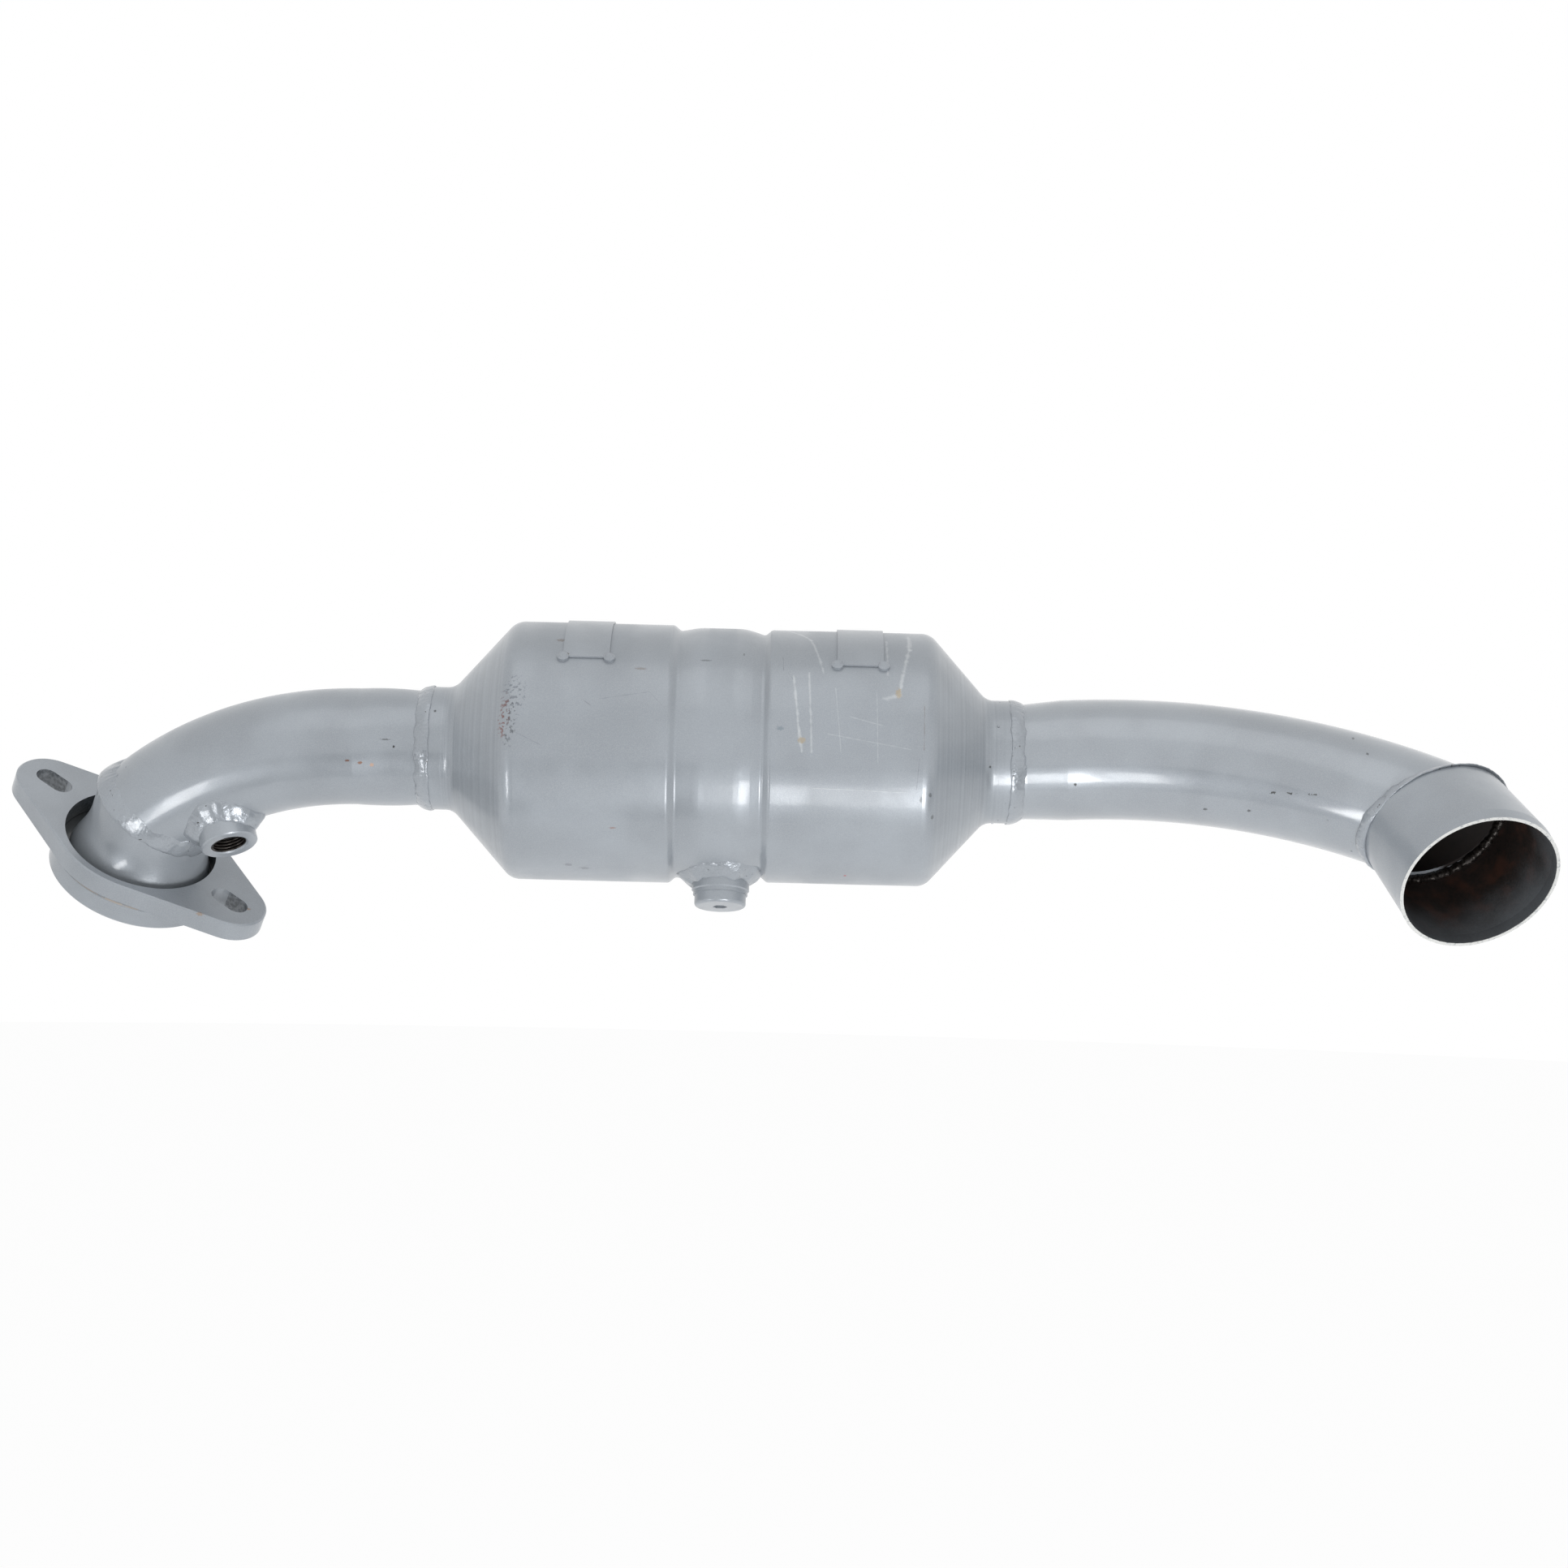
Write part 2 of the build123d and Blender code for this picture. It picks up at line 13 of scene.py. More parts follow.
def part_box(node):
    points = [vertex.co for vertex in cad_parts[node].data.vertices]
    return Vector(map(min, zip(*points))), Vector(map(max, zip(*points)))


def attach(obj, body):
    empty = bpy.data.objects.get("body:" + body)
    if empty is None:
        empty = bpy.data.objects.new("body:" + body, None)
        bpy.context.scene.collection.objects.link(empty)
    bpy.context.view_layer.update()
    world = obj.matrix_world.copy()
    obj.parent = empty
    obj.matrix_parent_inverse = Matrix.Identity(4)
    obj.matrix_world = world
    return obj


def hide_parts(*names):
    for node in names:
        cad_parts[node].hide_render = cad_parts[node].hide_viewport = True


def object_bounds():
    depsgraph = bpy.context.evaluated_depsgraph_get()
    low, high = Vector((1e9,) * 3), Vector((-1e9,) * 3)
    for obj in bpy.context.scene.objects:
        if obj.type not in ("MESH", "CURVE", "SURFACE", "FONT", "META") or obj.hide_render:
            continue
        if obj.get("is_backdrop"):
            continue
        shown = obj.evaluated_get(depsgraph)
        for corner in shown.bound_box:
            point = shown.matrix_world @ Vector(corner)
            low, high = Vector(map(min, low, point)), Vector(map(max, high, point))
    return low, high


bl_info = {
    "name": "Painted catalytic converter",
    "version": (1, 0, 0),
    "blender": (4, 5, 0),
    "location": "View3D > Sidebar > Converter",
    "description": "Welds, threads, paint and wear for a catalytic converter, with its stage",
    "category": "Object",
}

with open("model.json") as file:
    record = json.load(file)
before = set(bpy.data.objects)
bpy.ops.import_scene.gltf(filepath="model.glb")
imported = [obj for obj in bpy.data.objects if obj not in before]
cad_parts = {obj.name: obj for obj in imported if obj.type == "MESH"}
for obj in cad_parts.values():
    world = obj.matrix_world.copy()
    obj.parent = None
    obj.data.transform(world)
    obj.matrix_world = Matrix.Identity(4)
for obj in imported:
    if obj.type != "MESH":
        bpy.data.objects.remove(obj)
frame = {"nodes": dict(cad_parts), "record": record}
nodes = frame["nodes"]
MM = 0.001

# Directions and sizes of the pipe run, in degrees and millimetres
INLET_TURN = 69.8
INLET_ROLL = 31.8
KINK_TURN = 29.3
NECK_LENGTH = 42.0
SEAM_TURN = 70.9
SEAM_ROLL = 125.1
SEAM_CENTRE = (616.2, -91.5, 41.3)
OUTLET_TILT = 4.1
OUTLET_TILT_ROLL = 19.4
OUTLET_TURN = 38.1
OUTLET_ROLL = 122.9
OUTLET_RUN = 24.0
OUTLET_RADIUS = 263.0
OUTLET_BEND_START = 470.0
BOSS_RADIUS = 13.5
FLANGE_RIM_RADIUS = 40.0
BAND_BOSS_ROLL = 165.0
BAND_BOSS_PLACE = 1.7
TUBE_GIRTH = 190.0
CUFF_GIRTH = 200.0
THREAD_RADIUS = 8.5
THREAD_LENGTH = 8.4
THREAD_PITCH = 1.5
CELL_PITCH = 1.27
NECK_PINHOLE = (-1.2, -43.3, 37.7)

# Steps round a seam's bead, round a boss, along a bead's arch, round a root bead's section
# and round the strip that the drops land on
SEAM_STEPS = 480
BOSS_STEPS = 300
ARCH_STEPS = 16
ROOT_STEPS = 12
STRIP_STEPS = 60

# How far from a joint's centre, in millimetres, a line starts that looks for the tube or for
# the boss's foot
TUBE_CLEAR = 90
BOSS_CLEAR = 30

# A mark's ragged edge, as a share of its size, and the area in mm2 from which it is specks
TEAR = 0.7
LARGE_PATCH = 12.0

# Sockets of a Mix node of colours, by number, because their names aren't unique
MASK = 0
UNDER = 6
TOP = 7
MIXED = 2

# The camera and the stage, in metres and degrees, with the lens in millimetres
CAMERA_LENS = 72.36
CAMERA_TILT = 1.43
CAMERA_DISTANCE = 1.5
CAMERA_RIGHT = 30.05 * MM
CAMERA_DOWN = 13.71 * MM
FLOOR_RADIUS = 9.0
FLAG_PLACE = -3.13
FLAG_HALF = (3.0, 2.6)
FLAG_LIFT = 0.01


# Places taken from the CAD model


def radial(roll):
    """The unit direction across the body axis at a roll, from +Z towards -Y."""
    angle = math.radians(roll)
    return Vector((0, -math.sin(angle), math.cos(angle)))


def heading(turn, roll):
    """The unit direction that is a turn away from +X, on the side of a roll."""
    angle = math.radians(turn)
    return Vector((math.cos(angle), 0, 0)) + radial(roll) * math.sin(angle)


def mount(name):
    """A mount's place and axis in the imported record."""
    row = next(m for m in frame["record"]["mounts"] if m["name"] == name)
    return Vector(row["pos_m"]), Vector(row["axis"]).normalized()


def middle(node):
    """The centre of a node's box."""
    low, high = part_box(node)
    return (low + high) / 2


def surface(*names):
    """The surface of some CAD nodes, for finding points on them."""
    points = []
    faces = []
    for name in names:
        mesh = nodes[name].data
        start = len(points)
        points.extend(v.co.copy() for v in mesh.vertices)
        faces.extend([start + i for i in p.vertices] for p in mesh.polygons)
    return BVHTree.FromPolygons(points, faces)


def touch(tree, start, towards):
    """The point where a line from start first meets a surface."""
    hit = tree.ray_cast(start, towards)[0]
    if hit is None:
        raise RuntimeError("a line met no surface, so a weld would hang in the air")
    return hit


body_low, body_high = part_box("converter_shell")
body_centre = Vector(((body_low.x + body_high.x) / 2, *middle("front_brick").yz))
body_half = (body_high.x - body_low.x) / 2
along = Vector((1, 0, 0))
inlet_heading = heading(INLET_TURN, INLET_ROLL)
mitre_centre = inlet_heading * NECK_LENGTH * MM
mitre_heading = heading(INLET_TURN - KINK_TURN / 2, INLET_ROLL)
boss_centre, boss_heading = mount("inlet_sensor")
band_boss_heading = radial(BAND_BOSS_ROLL)
band_boss_foot = body_centre + along * BAND_BOSS_PLACE * MM
seam_centre = Vector(SEAM_CENTRE) * MM
seam_heading = heading(SEAM_TURN, SEAM_ROLL)
mouth_point, mouth_heading = mount("outlet_cuff")
# Grain scale along each axis, stretched along the neck so the cut lines run across the edge
cut_way = Vector((1.0, 1.0, 0.12))

# The outlet pipe's bend
outlet_lead = heading(OUTLET_TILT, OUTLET_TILT_ROLL)
bend_normal = outlet_lead.cross(heading(OUTLET_TURN, OUTLET_ROLL)).normalized()
bend_centre = (
    body_centre + along * body_half
    + (outlet_lead * OUTLET_RUN + bend_normal.cross(outlet_lead) * OUTLET_RADIUS) * MM
)


# Settings that a user may change


class PaintSettings(bpy.types.PropertyGroup):
    """The paint's colour and gloss."""

    colour: FloatVectorProperty(
        name="Paint", description="Colour of the aluminium paint", subtype="COLOR",
        size=4, min=0, max=1, default=(0.285, 0.312, 0.343, 1),
    )
    metal: FloatProperty(
        name="Flake", description="Share of metal flake in the paint", default=0.3, min=0, max=1,
    )
    gloss: FloatProperty(
        name="Binder gloss", description="Weight of the clear binder over the flake",
        default=0.55, min=0, max=1,
    )


class WeldSettings(bpy.types.PropertyGroup):
    """The sizes of the weld beads."""

    rise: FloatProperty(
        name="Bead height", description="How far a bead stands over the tube",
        default=1.0 * MM, unit="LENGTH",
    )
    ripple: FloatProperty(
        name="Ripple", description="Spacing of the ripples along a bead",
        default=2.2 * MM, unit="LENGTH",
    )
    spatter: IntProperty(
        name="Spatter", description="How many drops lie round each weld", default=14, min=0,
    )


class StageSettings(bpy.types.PropertyGroup):
    """The studio round the part."""

    drop: FloatProperty(
        name="Floor drop", description="How far the floor is under the held part",
        default=0.75, unit="LENGTH",
    )
    key: FloatProperty(
        name="Key", description="Power of the large soft light", default=8.5, min=0,
        unit="POWER",
    )
    low: FloatProperty(
        name="Low boxes", description="Power of each low soft box", default=3.0, min=0,
        unit="POWER",
    )
    room: FloatProperty(name="Room", description="Light from the room itself", default=0.77, min=0)


# Materials


def linear(hex_colour):
    """The linear colour of an sRGB hex value."""
    channels = [int(hex_colour[i : i + 2], 16) / 255 for i in (1, 3, 5)]
    return [c / 12.92 if c <= 0.04045 else ((c + 0.055) / 1.055) ** 2.4 for c in channels] + [1]


def add(tree, kind, inputs=None, out=0, **settings):
    """Adds a node with its settings, sets or links its inputs, and gives back an output."""
    node = tree.nodes.new(kind)
    for name, value in settings.items():
        setattr(node, name, value)
    for key, value in (inputs or {}).items():
        if isinstance(value, bpy.types.NodeSocket):
            tree.links.new(value, node.inputs[key])
        else:
            node.inputs[key].default_value = value
    return node.outputs[out] if len(node.outputs) else node


def start_material(name):
    """An empty material and its node tree."""
    material = bpy.data.materials.new(name)
    material.use_nodes = True
    material.node_tree.nodes.clear()
    return material, material.node_tree


def place_in_mm(tree):
    """The object's own coordinates in millimetres."""
    own = add(tree, "ShaderNodeTexCoord", out="Object")
    return add(tree, "ShaderNodeVectorMath", {0: own, "Scale": 1000.0}, operation="SCALE")


def blot(tree, place, centre, size):
    """A torn patch round a place, by its half sizes. A large one breaks into specks."""
    shift = add(tree, "ShaderNodeVectorMath", {0: place, 1: Vector(centre)}, operation="SUBTRACT")
    unit = add(tree, "ShaderNodeVectorMath", {0: shift, 1: Vector(size)}, operation="DIVIDE")
    reach = add(tree, "ShaderNodeVectorMath", {0: unit}, out="Value", operation="LENGTH")
    ragged = add(tree, "ShaderNodeTexNoise", {"Vector": place, "Scale": 1 / 0.9, "Detail": 5.0})
    tear = add(tree, "ShaderNodeMath", {0: ragged, 1: TEAR * 2}, operation="MULTIPLY")
    torn = add(tree, "ShaderNodeMath", {0: reach, 1: tear}, operation="ADD")
    patch = add(tree, "ShaderNodeMapRange", {
        "Value": torn, "From Min": 0.95 + TEAR, "From Max": 0.45 + TEAR,
    }, interpolation_type="SMOOTHSTEP")
    if size[0] * size[1] < LARGE_PATCH:
        return patch
    grit = add(tree, "ShaderNodeTexNoise", {"Vector": place, "Scale": 1 / 1.7, "Detail": 6.0})
    specks = add(tree, "ShaderNodeMapRange", {
        "Value": grit, "From Min": 0.52, "From Max": 0.57,
    }, interpolation_type="SMOOTHSTEP")
    return add(tree, "ShaderNodeMath", {0: patch, 1: specks}, operation="MULTIPLY")


def marked(tree, place, colour, marks):
    """A colour with small marks on it, each a colour, a place and its half sizes."""
    for tone, centre, size in marks:
        mask = blot(tree, place, centre, size)
        colour = add(tree, "ShaderNodeMix", {
            MASK: mask, UNDER: colour, TOP: linear(tone),
        }, out=MIXED, data_type="RGBA")
    return colour


def streak(tree, place, start, end, width):
    """A thin line between two places, with soft sides and a broken run."""
    run = Vector(end) - Vector(start)
    shift = add(tree, "ShaderNodeVectorMath", {0: place, 1: Vector(start)}, operation="SUBTRACT")
    walked = add(tree, "ShaderNodeVectorMath", {0: shift, 1: run}, out="Value", operation="DOT_PRODUCT")
    share = add(
        tree, "ShaderNodeMath", {0: walked, 1: 1 / run.length_squared},
        operation="MULTIPLY", use_clamp=True,
    )
    back = add(tree, "ShaderNodeVectorMath", {0: run, "Scale": share}, operation="SCALE")
    apart = add(tree, "ShaderNodeVectorMath", {0: shift, 1: back}, operation="SUBTRACT")
    gap = add(tree, "ShaderNodeVectorMath", {0: apart}, out="Value", operation="LENGTH")
    drift = add(tree, "ShaderNodeTexNoise", {"Vector": place, "Scale": 1 / 3.0, "Detail": 3.0})
    wander = add(tree, "ShaderNodeMath", {0: drift, 1: width * 1.6}, operation="MULTIPLY")
    wavy = add(tree, "ShaderNodeMath", {0: gap, 1: wander}, operation="ADD")
    return add(tree, "ShaderNodeMapRange", {
        "Value": wavy, "From Min": width * 1.5, "From Max": width * 0.7,
    }, interpolation_type="SMOOTHSTEP")


def facing_in(tree, spoke):
    """One where a surface faces back along its spoke from an axis, and nothing outside."""
    facing = add(tree, "ShaderNodeTexCoord", out="Normal")
    turned = add(
        tree, "ShaderNodeVectorMath", {0: spoke, 1: facing}, out="Value", operation="DOT_PRODUCT"
    )
    return add(tree, "ShaderNodeMapRange", {
        "Value": turned, "From Min": 0.0, "From Max": -4.0,
    }, interpolation_type="SMOOTHSTEP")


def from_axis(tree, place, point, way):
    """The spoke from a straight axis to a place, and the distance run along the axis."""
    shift = add(tree, "ShaderNodeVectorMath", {0: place, 1: Vector(point)}, operation="SUBTRACT")
    run = add(
        tree, "ShaderNodeVectorMath", {0: shift, 1: Vector(way)}, out="Value", operation="DOT_PRODUCT"
    )
    back = add(tree, "ShaderNodeVectorMath", {0: Vector(way), "Scale": run}, operation="SCALE")
    return add(tree, "ShaderNodeVectorMath", {0: shift, 1: back}, operation="SUBTRACT"), run


def inside_bend(tree, place, centre, normal, radius):
    """The inside of a tube bent round a centre as a mask."""
    shift = add(tree, "ShaderNodeVectorMath", {0: place, 1: Vector(centre)}, operation="SUBTRACT")
    rise = add(
        tree, "ShaderNodeVectorMath", {0: shift, 1: normal}, out="Value", operation="DOT_PRODUCT"
    )
    lift = add(tree, "ShaderNodeVectorMath", {0: normal, "Scale": rise}, operation="SCALE")
    level = add(tree, "ShaderNodeVectorMath", {0: shift, 1: lift}, operation="SUBTRACT")
    unit = add(tree, "ShaderNodeVectorMath", {0: level}, operation="NORMALIZE")
    axis = add(tree, "ShaderNodeVectorMath", {0: unit, "Scale": radius}, operation="SCALE")
    spoke = add(tree, "ShaderNodeVectorMath", {0: shift, 1: axis}, operation="SUBTRACT")
    return facing_in(tree, spoke)


def seen_rays(tree):
    """One for the camera's rays and those that gloss or glass sends on, and none for others."""
    path = add(tree, "ShaderNodeLightPath").node
    seen = path.outputs["Is Camera Ray"]
    for kind in ("Is Glossy Ray", "Is Transmission Ray"):
        seen = add(tree, "ShaderNodeMath", {0: seen, 1: path.outputs[kind]}, operation="MAXIMUM")
    return seen


def rust_colour(tree, place):
    """Brown-black scale with patches of red rust."""
    clouds = add(tree, "ShaderNodeTexNoise", {"Vector": place, "Scale": 1 / 9.0, "Detail": 6.0})
    patches = add(tree, "ShaderNodeMapRange", {
        "Value": clouds, "From Min": 0.45, "From Max": 0.7,
    }, interpolation_type="SMOOTHSTEP")
    specks = add(tree, "ShaderNodeTexNoise", {"Vector": place, "Scale": 1 / 1.2, "Detail": 4.0})
    fine = add(tree, "ShaderNodeMapRange", {
        "Value": specks, "From Min": 0.3, "From Max": 0.7,
    }, interpolation_type="SMOOTHSTEP")
    dark = add(tree, "ShaderNodeMix", {
        MASK: fine, UNDER: linear("#120E0C"), TOP: linear("#251B17"),
    }, out=MIXED, data_type="RGBA")
    return add(tree, "ShaderNodeMix", {
        MASK: patches, UNDER: dark, TOP: linear("#3A231A"),
    }, out=MIXED, data_type="RGBA")


def finish_paint(tree, settings, colour, height, rough, bare=None, wet=1.0):
    """The paint's shader: sparse metal flake under a clear binder, over a bumpy skin.

    bare is where the paint is missing or dull, so that it has no flake or binder there.
    wet is how many times the usual binder gloss it has, where it ran together.
    """
    relief = add(tree, "ShaderNodeBump", {"Height": height, "Distance": MM, "Strength": 1.0})
    flake = settings.metal
    binder = settings.gloss * wet
    if bare is not None:
        flake = add(tree, "ShaderNodeMapRange", {
            "Value": bare, "From Min": 0, "From Max": 1, "To Min": flake, "To Max": 0.0,
        }, interpolation_type="SMOOTHSTEP")
        binder = add(tree, "ShaderNodeMapRange", {
            "Value": bare, "From Min": 0, "From Max": 1, "To Min": binder, "To Max": 0.0,
        }, interpolation_type="SMOOTHSTEP")
    shader = add(tree, "ShaderNodeBsdfPrincipled", {
        "Base Color": colour, "Roughness": rough, "Normal": relief, "Metallic": flake,
        "Coat Weight": binder, "Coat Roughness": 0.13,
    })
    add(tree, "ShaderNodeOutputMaterial", {"Surface": shader})


def paint_skin(tree, settings, place):
    """Colour, height in millimetres and roughness of the plain paint.

    The colour drifts a little where the spray ran thin. The height is orange peel about
    2 mm across with a few grains of dust in it.
    """
    drift = add(tree, "ShaderNodeTexNoise", {"Vector": place, "Scale": 1 / 45.0, "Detail": 3.0})
    sprayed = add(tree, "ShaderNodeMapRange", {
        "Value": drift, "From Min": 0.35, "From Max": 0.65,
    }, interpolation_type="SMOOTHSTEP")
    thin = [c * 0.93 for c in settings.colour[:3]] + [1]
    thick = [c * 1.06 for c in settings.colour[:3]] + [1]
    colour = add(tree, "ShaderNodeMix", {
        MASK: sprayed, UNDER: thin, TOP: thick,
    }, out=MIXED, data_type="RGBA")
    flake = add(tree, "ShaderNodeTexNoise", {"Vector": place, "Scale": 1 / 0.35, "Detail": 1.0})
    glitter = add(tree, "ShaderNodeMapRange", {
        "Value": flake, "From Min": 0.3, "From Max": 0.75, "To Min": 0.0, "To Max": 0.16,
    }, interpolation_type="SMOOTHSTEP")
    colour = add(tree, "ShaderNodeMix", {
        MASK: glitter, UNDER: colour, TOP: linear("#C9CDD2"),
    }, out=MIXED, data_type="RGBA")
    skin = add(tree, "ShaderNodeTexNoise", {"Vector": place, "Scale": 1 / 2.2, "Detail": 2.0})
    peel = add(tree, "ShaderNodeMath", {0: skin, 1: 0.05}, operation="MULTIPLY")
    grit = add(tree, "ShaderNodeTexNoise", {"Vector": place, "Scale": 1 / 0.9, "Detail": 1.0})
    dust = add(tree, "ShaderNodeMapRange", {
        "Value": grit, "From Min": 0.76, "From Max": 0.84, "To Min": 0.0, "To Max": 0.05,
    }, interpolation_type="SMOOTHSTEP")
    height = add(tree, "ShaderNodeMath", {0: peel, 1: dust}, operation="ADD")
    sheen = add(tree, "ShaderNodeTexNoise", {"Vector": place, "Scale": 1 / 14.0, "Detail": 3.0})
    rough = add(tree, "ShaderNodeMapRange", {
        "Value": sheen, "From Min": 0.3, "From Max": 0.7, "To Min": 0.36, "To Max": 0.46,
    }, interpolation_type="SMOOTHSTEP")
    return colour, height, rough


# Steel sprayed with aluminium paint, one coat over everything once it was welded. It is
# a blue-grey, semi-gloss skin with soft orange peel, and it shows the steel's marks.
def plain_paint(name, settings, marks=()):
    """Aluminium paint with small marks, each a colour, a place and its half sizes."""
    material, tree = start_material(name)
    place = place_in_mm(tree)
    colour, height, rough = paint_skin(tree, settings, place)
    colour = marked(tree, place, colour, marks)
    finish_paint(tree, settings, colour, height, rough)
    return material


# The same paint on the spun shell: fine turning lines on the cones, a reddish scuff
# on one drum, and dried glue, rub marks and scratches on the other.
def shell_paint(settings):
    """Aluminium paint over the spun shell, with its wear laid out along and round it."""
    material, tree = start_material("aluminium_paint_on_spun_shell")
    place = place_in_mm(tree)
    colour, height, rough = paint_skin(tree, settings, place)
    centred = add(
        tree, "ShaderNodeVectorMath", {0: place, 1: body_centre / MM}, operation="SUBTRACT"
    )
    parts = add(tree, "ShaderNodeSeparateXYZ", {0: centred}).node
    length = parts.outputs["X"]
    rearward = add(tree, "ShaderNodeMath", {0: parts.outputs["Y"], 1: -1.0}, operation="MULTIPLY")
    angle = add(tree, "ShaderNodeMath", {0: rearward, 1: parts.outputs["Z"]}, operation="ARCTAN2")
    roll = add(tree, "ShaderNodeMath", {0: angle, 1: 180 / math.pi}, operation="MULTIPLY")
    flat = add(tree, "ShaderNodeCombineXYZ", {0: length, 1: roll})
    # Turning lines, 1.4 mm apart, only past the drums' ends
    turned = add(tree, "ShaderNodeMath", {0: length, 1: 0.8}, operation="MULTIPLY")
    lathe = add(
        tree, "ShaderNodeTexNoise", {"W": turned, "Scale": 1.0, "Detail": 4.0}, noise_dimensions="1D"
    )
    reach = add(tree, "ShaderNodeMath", {0: length, 1: 0.0}, operation="ABSOLUTE")
    past_drum = add(tree, "ShaderNodeMapRange", {
        "Value": reach, "From Min": 97, "From Max": 104,
    }, interpolation_type="SMOOTHSTEP")
    before_collar = add(tree, "ShaderNodeMapRange", {
        "Value": reach, "From Min": 137, "From Max": 128,
    }, interpolation_type="SMOOTHSTEP")
    cone = add(tree, "ShaderNodeMath", {0: past_drum, 1: before_collar}, operation="MULTIPLY")
    cut_share = add(tree, "ShaderNodeMapRange", {
        "Value": cone, "From Min": 0, "From Max": 1, "To Min": 0.04, "To Max": 1.0,
    }, interpolation_type="SMOOTHSTEP")
    cut = add(tree, "ShaderNodeMath", {0: lathe, 1: cut_share}, operation="MULTIPLY")
    lines = add(tree, "ShaderNodeMath", {0: cut, 1: 0.14}, operation="MULTIPLY")
    height = add(tree, "ShaderNodeMath", {0: height, 1: lines}, operation="ADD")
    crests = add(tree, "ShaderNodeMapRange", {
        "Value": lathe, "From Min": 0.35, "From Max": 0.65,
    }, interpolation_type="SMOOTHSTEP")
    cone_share = add(tree, "ShaderNodeMath", {0: cone, 1: 0.3}, operation="MULTIPLY")
    shade = add(tree, "ShaderNodeMath", {0: crests, 1: cone_share}, operation="MULTIPLY")
    colour = add(tree, "ShaderNodeMix", {
        MASK: shade, UNDER: colour, TOP: linear("#7C8288"),
    }, out=MIXED, data_type="RGBA")
    # Dry overspray has dulled the drums and the mid band, but not their shoulders
    past_band = add(tree, "ShaderNodeMapRange", {
        "Value": reach, "From Min": 36, "From Max": 44,
    }, interpolation_type="SMOOTHSTEP")
    before_cone = add(tree, "ShaderNodeMapRange", {
        "Value": reach, "From Min": 94, "From Max": 82,
    }, interpolation_type="SMOOTHSTEP")
    drums = add(tree, "ShaderNodeMath", {0: past_band, 1: before_cone}, operation="MULTIPLY")
    band = add(tree, "ShaderNodeMapRange", {
        "Value": reach, "From Min": 9, "From Max": 5,
    }, interpolation_type="SMOOTHSTEP")
    sprayed = add(tree, "ShaderNodeMath", {0: drums, 1: band}, operation="MAXIMUM")
    dull = add(tree, "ShaderNodeMath", {0: sprayed, 1: 0.45}, operation="MULTIPLY")
    rougher = add(tree, "ShaderNodeMath", {0: dull, 1: 0.06}, operation="MULTIPLY")
    rough = add(tree, "ShaderNodeMath", {0: rough, 1: rougher}, operation="ADD")
    # Marks as along the axis in millimetres and round it in degrees
    for tone, strength, start, end, width in SHELL_STREAKS:
        line = streak(tree, flat, (*start, 0), (*end, 0), width)
        mask = add(tree, "ShaderNodeMath", {0: line, 1: strength}, operation="MULTIPLY")
        colour = add(tree, "ShaderNodeMix", {
            MASK: mask, UNDER: colour, TOP: linear(tone),
        }, out=MIXED, data_type="RGBA")
        if tone == GLUE:
            bead = add(tree, "ShaderNodeMath", {0: mask, 1: 0.12}, operation="MULTIPLY")
            height = add(tree, "ShaderNodeMath", {0: height, 1: bead}, operation="ADD")
    for tone, strength, centre, size in SHELL_BLOTS:
        patch = blot(tree, flat, (*centre, 0), (*size, 1))
        mask = add(tree, "ShaderNodeMath", {0: patch, 1: strength}, operation="MULTIPLY")
        colour = add(tree, "ShaderNodeMix", {
            MASK: mask, UNDER: colour, TOP: linear(tone),
        }, out=MIXED, data_type="RGBA")
    finish_paint(tree, settings, colour, height, rough, dull)
    return material


# Dried glue, which stands up a little from the paint
GLUE = "#C2C6C9"

# Lines on the shell: colour, strength, start, end and width
SHELL_STREAKS = (
    (GLUE, 0.6, (33.6, 52), (36.5, 79), 1.3),
    (GLUE, 0.6, (36.5, 79), (38.1, 88), 1.6),
    (GLUE, 0.5, (40.7, 50), (42.6, 88), 1.1),
    (GLUE, 0.6, (30.0, 8), (41.6, 25), 1.5),
    (GLUE, 0.5, (41.6, 25), (47.5, 50), 1.2),
    (GLUE, 0.6, (87.0, 16), (87.1, 32), 2.2),
    (GLUE, 0.6, (87.1, 32), (82.3, 62), 1.8),
    (GLUE, 0.45, (76.6, 24), (77.0, 50), 1.2),
    (GLUE, 0.5, (75.6, 63), (83.0, 61), 2.0),
    (GLUE, 0.35, (53.0, 58), (56.0, 88), 0.5),
    (GLUE, 0.35, (60.0, 72), (76.0, 76), 0.5),
    (GLUE, 0.35, (50.0, 80), (88.0, 86), 0.5),
    (GLUE, 0.35, (72.0, 60), (73.0, 92), 0.5),
    (GLUE, 0.3, (44.0, 104), (86.0, 105), 0.6),
    ("#6E5F52", 0.7, (93.9, 66), (94.1, 86), 0.3),
    ("#6A6E72", 0.6, (92.0, 90), (91.0, 104), 0.3),
    ("#7A8086", 0.6, (-94.7, 82), (-79.0, 89), 0.35),
    ("#7A8086", 0.6, (-55.3, 67), (-32.4, 63), 0.35),
    ("#7A8086", 0.6, (-32.4, 63), (-26.6, 69), 0.35),
    ("#6C7074", 0.6, (-62.0, 68), (-59.0, 70), 0.5),
    ("#4A4C4E", 0.6, (28.5, 40), (29.0, 49), 0.3),
    ("#4A4C4E", 0.5, (31.0, 50), (33.4, 54), 0.3),
)

